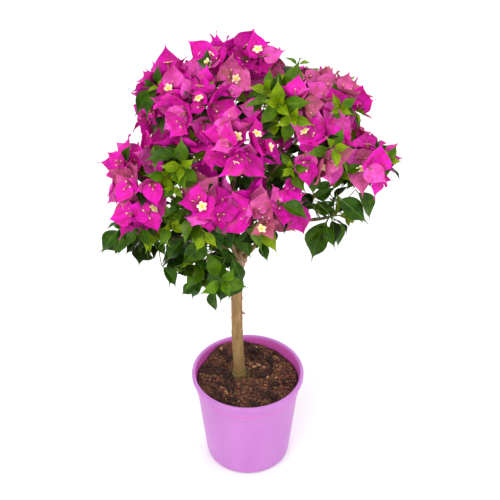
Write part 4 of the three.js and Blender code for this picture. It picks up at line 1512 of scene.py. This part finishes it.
def grow_foliage(growth):
    """Everything on the stems: blossoms first, then leaves where there is room, then dark ones inside,
    whose tone is painted shade.
    """
    masses = list(MASSES.values())
    for mass in masses:
        grow_aimed(growth, mass)
    for mass in masses:
        for number, (*place, scale) in enumerate(mass.get("shoots", [])):
            young_shoot(growth, mass, np.array(place, float), scale, random.Random(mass["seed"] + number))
        grow_shown(growth, mass)
    for mass in masses:
        grow_blossoms(growth, mass)
    for mass in masses:
        count = int(mass["sprays"] * mass.get("blooming", mass["flowering"]) * FINE_BLOSSOMS)
        grow_finer(growth, mass, blossom, count, FINE_SEEDS)
    for mass in masses:
        grow_leafy(growth, mass)
    for mass in masses:
        grow_finer(growth, mass, leafy_shoot, mass["sprays"] * WINDOW_SHOOTS, WINDOW_SEEDS, True)
    grow_leaves_below(growth)
    for mass in masses:
        share = FINE_LEAFINESS - mass["flowering"]
        count = int(mass["sprays"] * share * FINE_SHOOTS * mass.get("finer", 1))
        grow_finer(growth, mass, leafy_shoot, count, SHOOT_SEEDS)
    for mass in masses:
        grow_inside(growth, mass)


# Limbs
def trunk_radius(share, length):
    """The trunk's radius at a share of its length, with its flared foot and its swollen head."""
    flare = (FLARE_RADIUS - TRUNK_RADIUS) * np.exp(-share * length / FLARE_HEIGHT)
    off_head = (share - HEAD_MIDDLE) * length / HEAD_HALF_LENGTH
    head = (HEAD_RADIUS - TRUNK_NECK_RADIUS) * np.exp(-2 * off_head**2)
    return between(TRUNK_RADIUS, TRUNK_NECK_RADIUS, share) + flare + head


def knots_on_trunk(heights):
    """Slight rings where leaves once grew."""
    return sum(
        size * np.exp(-(((heights - height) / KNOT_HALF_HEIGHT) ** 2)) for height, size in TRUNK_KNOTS
    )


def bough_path(parent, share, centre, reach):
    """The path of a bough from its parent into the mass that it carries."""
    start, rising = parent.point(share), parent.heading(share)
    heading = unit(centre - start)
    end = centre - heading * BOUGH_END_SHARE * min(reach)
    pull = np.linalg.norm(end - start) / 3
    out = unit(heading + rising * BOUGH_RISE)
    on = unit(heading - rising * BOUGH_ARCH)
    return bezier(start, start + out * pull, end - on * pull, end)


def relief(points, scale, depth, stretch):
    """How far bark stands out at points: long ridges and fine cracks."""
    heights = []
    for x, y, z in points:
        ridge = noise.noise(Vector((x / scale, y / scale, z / (scale * stretch))))
        closer = (x / scale * CRACK_CLOSENESS, y / scale * CRACK_CLOSENESS)
        crack = abs(noise.noise(Vector((*closer, z / (scale * stretch * CRACK_STRETCH) + CRACK_LAYER))))
        open_crack = min(crack * CRACK_EDGE, 1)
        heights.append(depth * (RIDGE_SHARE * ridge + CRACK_SHARE * open_crack - BARK_SUNK))
    return np.array(heights)


def barked(path, radius_at, rings, sides, depth):
    """A limb with its bark's relief."""
    shares = np.linspace(0, 1, rings)
    radii = np.repeat(radius_at(shares)[:, None], sides, axis=1)
    points, faces = tube(path.point(shares), radii, sides)
    middles = np.repeat(path.point(shares), sides, axis=0)
    skin = points[: rings * sides]
    out = skin - middles
    out /= np.linalg.norm(out, axis=1)[:, None]
    points[: rings * sides] = skin + out * relief(skin, BARK_GRAIN, depth, BARK_STRETCH)[:, None]
    return points, faces


def grow_bough(growth, name, mass, parent, parent_radius):
    """A bough with a collar where it leaves its parent; returns its path and its radius along it."""
    _, share = mass["start"]
    path = bough_path(parent, share, mass["centre"], mass["reach"])
    thick = min(BOUGH_RADIUS, float(parent_radius(share)) * SIDE_BOUGH_SHARE)
    thin = min(thick, BOUGH_TIP_RADIUS)

    def radius_at(along):
        return between(thick, thin, np.sqrt(along))

    def collared(along):
        return radius_at(along) * (1 + COLLAR_SWELL * np.exp(-along / COLLAR_SHARE))

    rings = max(24, int(path.length / 2))
    growth.heap("bough", name).add(*barked(path, collared, rings, BOUGH_SIDES, BOUGH_RELIEF))
    return path, radius_at


def make_limbs(growth):
    """The trunk, its boughs and the foliage that grows on from them."""
    trunk = smooth_run(TRUNK_PATH)

    def bare_radius(share):
        return trunk_radius(share, trunk.length)

    def knotted_radius(shares):
        return bare_radius(shares) + knots_on_trunk(shares * trunk.length)

    growth.heap("trunk").add(*barked(trunk, knotted_radius, TRUNK_RINGS, TRUNK_SIDES, TRUNK_RELIEF))
    add_head_stubs(growth, trunk.point(HEAD_MIDDLE))
    add_spur(growth)
    add_moss(growth, trunk)
    limbs = {"trunk": (trunk, bare_radius)}
    for number, (name, mass) in enumerate(MASSES.items()):
        mass["seed"] = SEED_STEP * (number + 1)
        mass["centre"] = np.array(mass["centre"], float)
        mass["reach"] = np.array(mass["reach"], float)
        parent_name, share = mass["start"]
        parent, parent_radius = limbs[parent_name]
        if name == SHOOT_ON_TRUNK:
            start = parent.point(share)
            heading = unit(mass["centre"] - start)
        else:
            limbs[name] = grow_bough(growth, name, mass, parent, parent_radius)
            path = limbs[name][0]
            start, heading = path.point(1.0), path.heading(1.0)
        start_mass(growth, mass, start, heading)
    grow_foliage(growth)


def add_head_stubs(growth, head):
    """The healed cuts of the pruned head, each a short rounded stub."""
    for heading, radius, length in HEAD_STUBS:
        heading = unit(np.array(heading))
        shares = np.linspace(0, 1, STUB_RINGS)
        path = head + heading * (shares * length)[:, None]
        rounding = np.clip((shares - STUB_ROUND_FROM) / STUB_ROUND_SHARE, 0, 1)
        round_off = np.sqrt(np.clip(1 - rounding**2, 0.03, 1))
        radii = radius * (STUB_WIDENING - STUB_TAPER * shares) * round_off
        points, faces = tube(path, radii, STUB_SIDES)
        out = unit_rows(points - head)
        growth.heap("healed_wood").add(points + out * relief(points, *STUB_RELIEF)[:, None], faces)


def add_spur(growth):
    """The little dry spur on the trunk, which droops at its tip."""
    spur, heading = np.array(SPUR_PLACE), unit(np.array(SPUR_HEADING))
    path = [spur + heading * step for step, _ in SPUR_STEPS]
    path[-1] = path[-1] - UP * SPUR_DROOP
    growth.heap("healed_wood").add(*tube(path, [radius for _, radius in SPUR_STEPS], 8))


def add_moss(growth, trunk):
    """A collar of moss just above the trunk's foot."""
    chance = random.Random(MOSS_SEED)
    for _ in range(MOSS_CRUMBS):
        height = chance.triangular(*MOSS_HEIGHTS)
        share = height / trunk.length
        out = square(UP, chance.uniform(0, FULL_TURN))
        place = trunk.point(share) + out * (trunk_radius(share, trunk.length) - MOSS_SUNK)
        crumb(growth.heap("moss"), place, chance.uniform(*MOSS_SIZES), 0.6, chance)


# Florets
def add_floret_tube(growth, base, tip, mouth):
    """The tube of a floret, up to its mouth of a radius."""
    growth.heap("floret_tube").add(*tube([base, (base + tip) / 2, tip], [*TUBE_RADII, mouth], 6))


def star_flower(growth, base, heading, length, chance):
    """An open floret: its tube, five cream lobes and a yellow throat."""
    tip = base + heading * (length + STAR_STEM)
    add_floret_tube(growth, base, tip, STAR_MOUTH)
    side = square(heading, chance.uniform(0, FULL_TURN))
    angles = np.arange(STAR_POINTS) * FULL_TURN / STAR_POINTS
    lobe = np.abs(np.cos(angles * LOBES / 2))
    outer = LOBE_FOOT + LOBE_LENGTH * lobe**LOBE_POWER
    ring = circle(side, np.cross(heading, side), angles)
    rings = [tip + ring * STAR_MOUTH]
    for share, lift in STAR_RINGS:
        rings.append(tip + ring * (outer * share)[:, None] + heading * lift)
    growth.heap("star").add(np.concatenate(rings), grid_faces(len(rings), STAR_POINTS, True))
    middles = [tip + heading * step for step, _ in THROAT_RINGS]
    growth.heap("throat").add(*tube(middles, [radius for _, radius in THROAT_RINGS], 10))


def closed_floret(growth, base, heading, length, chance):
    """A floret in bud: a tube that narrows below its small blunt head."""
    bend = heading + BUD_BEND * square(heading, chance.uniform(0, FULL_TURN))
    tip = base + unit(bend) * length
    add_floret_tube(growth, base, tip, BUD_NECK)
    size = chance.uniform(*BUD_SIZES)
    axis = unit(tip - base)
    places = [tip + axis * step * size for step, _ in BUD_RINGS]
    radii = [radius * size for _, radius in BUD_RINGS]
    growth.heap("bud", chance.choice(BUD_TONES)).add(*tube(places, radii, 7))


def open_where_seen(growth):
    """The florets that show at the photo's stars: of those at each, the one nearest to the camera."""
    x, y, ahead = in_photo(np.array([base + heading * length for base, heading, length in growth.florets]))
    chosen = set()
    for star_x, star_y in STARS_IN_PHOTO:
        off = np.hypot(x - star_x, y - star_y)
        chosen.add(int(np.argmin(ahead + STAR_OFF_WEIGHT * off + STAR_TOO_FAR * (off > STAR_REACH))))
    return chosen


def make_florets(growth):
    """A floret on each bract, open where the photo shows a star and, by chance, here and there."""
    seen = open_where_seen(growth)
    for number, floret in enumerate(growth.florets):
        chance = random.Random(number)
        make = star_flower if number in seen or chance.random() < OPEN_SHARE else closed_floret
        make(growth, *floret, chance)


# Pot and potting mix
def pot_outline(lip, top):
    """The pot as radius and height: up its foot, side, collar and rolled lip, then down its inside."""
    foot = [(0, 0), (lip - 27, 0), (lip - 24.5, 0.3), (lip - 21, 1.4), (lip - 18.6, 4), (lip - 17.6, 8)]
    side = [
        (lip - 17, WALL_FOOT_HEIGHT), (lip - 11.9, 62), (lip - 7.1, 110.8), (lip - 6.9, 111.9),
        (lip - 6.1, 112.6),
    ]
    collar = [
        (lip - 5.8, 113.6), (lip - 4.2, COLLAR_TOP_HEIGHT), (lip - 3.9, top - 10.4),
        (lip - 3.5, top - 9.4),
    ]
    rolled_lip = [
        (lip - 1.2, top - 8.5), (lip - 0.3, top - 7.3), (lip, top - 5.5), (lip, top - 2.4),
        (lip - 0.35, top - 1.1), (lip - 1.1, top - 0.3), (lip - 2.2, top), (lip - 3.4, top - 0.2),
        (lip - 4.4, top - 1), (lip - 5, top - 2.6), (lip - 5.5, top - 6),
    ]
    inside = [
        (lip - 3.9 - POT_WALL, top - 10), (lip - 4.2 - POT_WALL, COLLAR_TOP_HEIGHT),
        (lip - 6 - POT_WALL, COLLAR_FOOT_HEIGHT), (lip - 17 - POT_WALL, WALL_FOOT_HEIGHT),
        (lip - 24 - POT_WALL, 3.4), (0, 3.2),
    ]
    return [*foot, *side, *collar, *rolled_lip, *inside]


def make_pot():
    """The lilac pot, turned round its axis."""
    _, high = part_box("pot")
    lip, top = high.x / MM, high.z / MM
    heap = Heap()
    heap.add(*turned(pot_outline(lip, top), POT_SIDES))
    # a more saturated pink for the inner wall: painted light shining through the thin plastic
    inside = colour(208, 88, 178)
    finish = moulded("lilac_plastic", colour(193, 120, 197), colour(180, 106, 186), inside, lip)
    piece("lilac_pot", heap, finish, ["pot"])


def bumps(x, y, width, layer):
    """Smooth bumps of about a width over the mix, other ones in each layer."""
    return noise.noise(Vector((x / width, y / width, layer)))


def mix_height(x, y):
    """The lumpy top of the potting mix, a little higher at the back left."""
    away = math.hypot(x - TRUNK_PATH[0][0], y - TRUNK_PATH[0][1])
    fade = min(max((away - CALM_RADIUS) / CALM_EDGE, CALM_LEAST), 1)
    heaped = sum(
        height * math.exp(-((x - heap_x) ** 2 + (y - heap_y) ** 2) / spread**2)
        for heap_x, heap_y, height, spread in MIX_HEAPS
    )
    lumps = sum(height * bumps(x, y, width, layer) for height, width, layer in MIX_LUMPS)
    sloping = MIX_SLOPE * (MIX_BACK_SHARE * y - x)
    return MIX_LEVEL + (sloping + heaped + lumps) * fade + bumps(x, y, *FINE_BUMPS)


def on_mix(x, y, lift):
    """A place above the top of the mix."""
    return np.array([x, y, mix_height(x, y) + lift])


def level_way(angle):
    """The level direction at an angle."""
    return np.array([math.cos(angle), math.sin(angle)])


def make_potting_mix():
    """The bed of mix that fills the pot."""
    ways = [level_way(FULL_TURN * j / MIX_SIDES) for j in range(MIX_SIDES)]
    points = [on_mix(0, 0, 0)]
    for i in range(1, MIX_RINGS + 1):
        points += [on_mix(*(MIX_RADIUS * i / MIX_RINGS * way), 0) for way in ways]
    for radius, height in MIX_SKIRT:
        points += [[*(radius * way), height] for way in ways]
    points.append([0, 0, MIX_SKIRT[-1][1]])
    rows = MIX_RINGS + len(MIX_SKIRT)
    last = 1 + (rows - 1) * MIX_SIDES
    faces = grid_faces(rows, MIX_SIDES, True)[:, ::-1] + 1
    cap, foot = fan(0, 1, MIX_SIDES), fan(last + MIX_SIDES, last, MIX_SIDES, True)
    heap = Heap()
    heap.add(np.array(points, float), np.concatenate([faces, cap, foot]))
    finish = earthy("moist_mix", colour(104, 62, 46), colour(40, 23, 20), 420, colour(44, 24, 22))
    piece("potting_mix_bed", heap, finish, ["potting_mix"])


# A crumb before it is made irregular: the twenty-sided solid
ICO = (1 + math.sqrt(5)) / 2
ICO_POINTS = np.array(
    [[-1, ICO, 0], [1, ICO, 0], [-1, -ICO, 0], [1, -ICO, 0], [0, -1, ICO], [0, 1, ICO],
     [0, -1, -ICO], [0, 1, -ICO], [ICO, 0, -1], [ICO, 0, 1], [-ICO, 0, -1], [-ICO, 0, 1]]
) / math.hypot(1, ICO)
ICO_FACES = np.array(
    [[0, 11, 5], [0, 5, 1], [0, 1, 7], [0, 7, 10], [0, 10, 11], [1, 5, 9], [5, 11, 4], [11, 10, 2],
     [10, 7, 6], [7, 1, 8], [3, 9, 4], [3, 4, 2], [3, 2, 6], [3, 6, 8], [3, 8, 9], [4, 9, 5],
     [2, 4, 11], [6, 2, 10], [8, 6, 7], [9, 8, 1]]
)


def crumb(heap, place, size, flatness, chance):
    """An irregular crumb or chip that lies half sunk at its place."""
    wobble = np.array([[chance.uniform(*CRUMB_WOBBLE)] for _ in ICO_POINTS])
    points = ICO_POINTS * wobble * np.array([1, chance.uniform(*CRUMB_WIDTHS), flatness]) * size
    axis = unit(np.array([chance.uniform(-1, 1), chance.uniform(-1, 1), 2.0]))
    side = square(axis, chance.uniform(0, FULL_TURN))
    heap.add(place + points @ np.stack([side, np.cross(axis, side), axis]), ICO_FACES)


def strew(heap, kind, foot, chance):
    """Crumbs of one kind over the mix, clear of the trunk's foot and in patches of their own."""
    for _ in range(kind["count"]):
        size = between(*kind["sizes"], chance.random() ** 2)
        radius = (MIX_RADIUS - RIM_CLEAR * size) * math.sqrt(chance.random())
        x, y = radius * level_way(chance.uniform(0, FULL_TURN))
        light = bumps(x, y, *PATCHES)
        if np.linalg.norm(foot - (x, y)) < CALM_RADIUS + size or light * kind["light"] < -PATCH_LIMIT:
            continue
        crumb(heap, on_mix(x, y, CRUMB_LIFT * size), size, kind["flatness"], chance)


def make_crumbs():
    """Loose crumbs, bark chips, white specks and fibres on the mix."""
    foot = np.array(TRUNK_PATH[0][:2])
    for number, (name, kind) in enumerate(CRUMB_KINDS.items()):
        chance = random.Random(CRUMB_SEEDS + number)
        heap = Heap()
        strew(heap, kind, foot, chance)
        if name == "tan_chips":
            for x, y, size in CHIPS_SEEN:
                crumb(heap, on_mix(x, y, 0.6), size, 0.35, chance)
        if name == "white_specks":
            crumb(heap, on_mix(*SPECK_SEEN, 1), SPECK_SIZE, 0.9, chance)
        piece(name, heap, earthy(name, *kind["tones"]))
    make_foot_crumbs(foot)
    make_root_fibres(foot)


def make_foot_crumbs(foot):
    """Crumbs that lie heaped against the trunk's foot."""
    chance = random.Random(FOOT_CRUMB_SEED)
    heap = Heap()
    for _ in range(FOOT_CRUMBS):
        away = FLARE_RADIUS * (0.98 + 0.7 * chance.random() ** 2)
        x, y = foot + away * level_way(chance.uniform(0, FULL_TURN))
        lift = max(0, 1 - (away / FLARE_RADIUS - 1) / 0.4) * chance.uniform(*FOOT_CRUMB_LIFTS)
        crumb(heap, on_mix(x, y, lift), chance.uniform(*FOOT_CRUMB_SIZES), 0.8, chance)
    finish = earthy("foot_crumbs", colour(112, 92, 52), colour(66, 50, 32))
    piece("foot_crumbs", heap, finish)


def make_root_fibres(foot):
    """Fine fibres that lie bent on the mix, away from the trunk's foot."""
    chance = random.Random(FIBRE_SEED)
    fibres = Heap()
    for _ in range(ROOT_FIBRES):
        radius = FIBRE_AREA * math.sqrt(chance.random())
        start = radius * level_way(chance.uniform(0, FULL_TURN))
        heading = chance.uniform(0, FULL_TURN)
        length = chance.uniform(*FIBRE_LENGTHS)
        run = []
        for step in range(FIBRE_STEPS):
            place = start + length * step / (FIBRE_STEPS - 1) * level_way(heading)
            if np.linalg.norm(place) > FIBRE_LIMIT:
                break
            heading += chance.uniform(-FIBRE_BEND, FIBRE_BEND)
            run.append(on_mix(*place, 0.5))
        if len(run) > 2 and np.linalg.norm(foot - start) > FIBRE_CLEAR:
            fibres.add(*tube(run, np.full(len(run), FIBRE_RADIUS), 5))
    finish = earthy("root_fibres", colour(168, 122, 84), colour(110, 74, 50))
    piece("root_fibres", fibres, finish)


# The plant
def make_barks(growth):
    """The trunk with its healed cuts and moss, the boughs, the young stems and the green twigs."""
    olive = colour(122, 100, 58)
    wood = woody("bark", colour(156, 122, 80), colour(124, 98, 60), colour(174, 142, 104), 0.85, olive)
    piece("trunk_bark", growth.heap("trunk"), wood, ["trunk"])
    healed = woody("healed_wood", colour(184, 148, 130), colour(128, 98, 82), colour(204, 176, 158), 0.8)
    piece("healed_cuts", growth.heap("healed_wood"), healed)
    moss = earthy("moss", colour(112, 112, 44), colour(74, 78, 30))
    piece("moss_collar", growth.heap("moss"), moss)
    bough_wood = woody("bough_bark", colour(136, 108, 74), colour(92, 70, 48), colour(156, 132, 98), 0.8)
    for name in MASSES:
        if name != SHOOT_ON_TRUNK:
            piece("bough_bark_" + name, growth.heap("bough", name), bough_wood, ["bough_" + name])
    young = woody("young_bark", colour(118, 110, 60), colour(84, 78, 44), colour(138, 130, 84), 0.7)
    piece("young_stems", growth.heap("young_wood"), young)
    green = leafy("green_twigs", colour(108, 122, 52), colour(82, 92, 44), 0.55)
    foliage = ["foliage_" + name for name in MASSES]
    piece("green_twigs", growth.heap("green_wood"), green, foliage)


def make_blades(growth):
    """The bracts and the leaves, a piece for each tone, and the leaves' pale ribs."""
    for tone, tones in BRACT_TONES.items():
        piece("bracts_" + tone, growth.heap("bract", tone), papery("bract_" + tone, *tones))
    for tone, tones in LEAF_TONES.items():
        piece("leaves_" + tone, growth.heap("leaf", tone), leafy("leaf_" + tone, *tones))
    ribs = leafy("leaf_rib", colour(92, 124, 44), colour(74, 104, 34), 0.5)
    piece("leaf_ribs", growth.heap("rib"), ribs)
    young_ribs = leafy("young_rib", colour(158, 180, 60), colour(138, 164, 40), 0.5)
    piece("young_leaf_ribs", growth.heap("rib", "young"), young_ribs)


def make_plant():
    """The whole plant: its barks, leaves, bracts and florets."""
    growth = Growth()
    make_limbs(growth)
    make_florets(growth)
    make_barks(growth)
    make_blades(growth)
    for name, (heap, finish, *tones) in FLORET_PARTS.items():
        piece(name, growth.heap(*heap), papery(finish, *tones))


# The studio: its lamps as name, place, size and power
LAMPS = [
    ("key", (-0.9, -1.5, 2.1), 1.6, 34),
    ("fill", (1.4, -1.1, 1.3), 1.6, 14),
    ("back", (0.3, 1.6, 1.8), 1.4, 12),
]
LAMPS_AIM = Vector((0, 0, 0.42))
FLOOR_TONE = (0.93, 0.93, 0.93, 1)
SKY_TONE = (1, 1, 1, 1)
SKY_STRENGTH = 0.85


def stand(name, data, place, turn):
    """Stands a lamp or a camera in the studio."""
    item = bpy.data.objects.new(name, data)
    item.location = place
    item.rotation_euler = turn
    bpy.context.scene.collection.objects.link(item)
    return item


def make_studio():
    """A plain pale floor, soft lights and the camera at the photo's viewpoint."""
    bpy.ops.mesh.primitive_plane_add(size=14, location=(0, 0, -0.0004))
    floor = bpy.context.object
    floor.name = "floor"
    paint = Finish("floor_paint", 0.9)
    paint.set("Base Color", FLOOR_TONE)
    floor.data.materials.append(paint.material)

    world = bpy.data.worlds.new("studio")
    bpy.context.scene.world = world
    world.use_nodes = True
    sky = world.node_tree.nodes["Background"]
    sky.inputs["Color"].default_value = SKY_TONE
    sky.inputs["Strength"].default_value = SKY_STRENGTH

    for name, place, size, power in LAMPS:
        lamp = bpy.data.lights.new(name, "AREA")
        lamp.size = size
        lamp.energy = power
        stand(name, lamp, place, (LAMPS_AIM - Vector(place)).to_track_quat("-Z", "Y").to_euler())

    camera = bpy.data.cameras.new("camera")
    camera.sensor_width = CAMERA_SENSOR
    camera.lens = CAMERA_LENS
    turn = (math.radians(90 - CAMERA_PITCH), 0, 0)
    bpy.context.scene.camera = stand("camera", camera, Vector(CAMERA_PLACE) * MM, turn)
    bpy.context.scene.view_settings.view_transform = "Standard"


make_studio()
make_pot()
make_potting_mix()
make_crumbs()
make_plant()
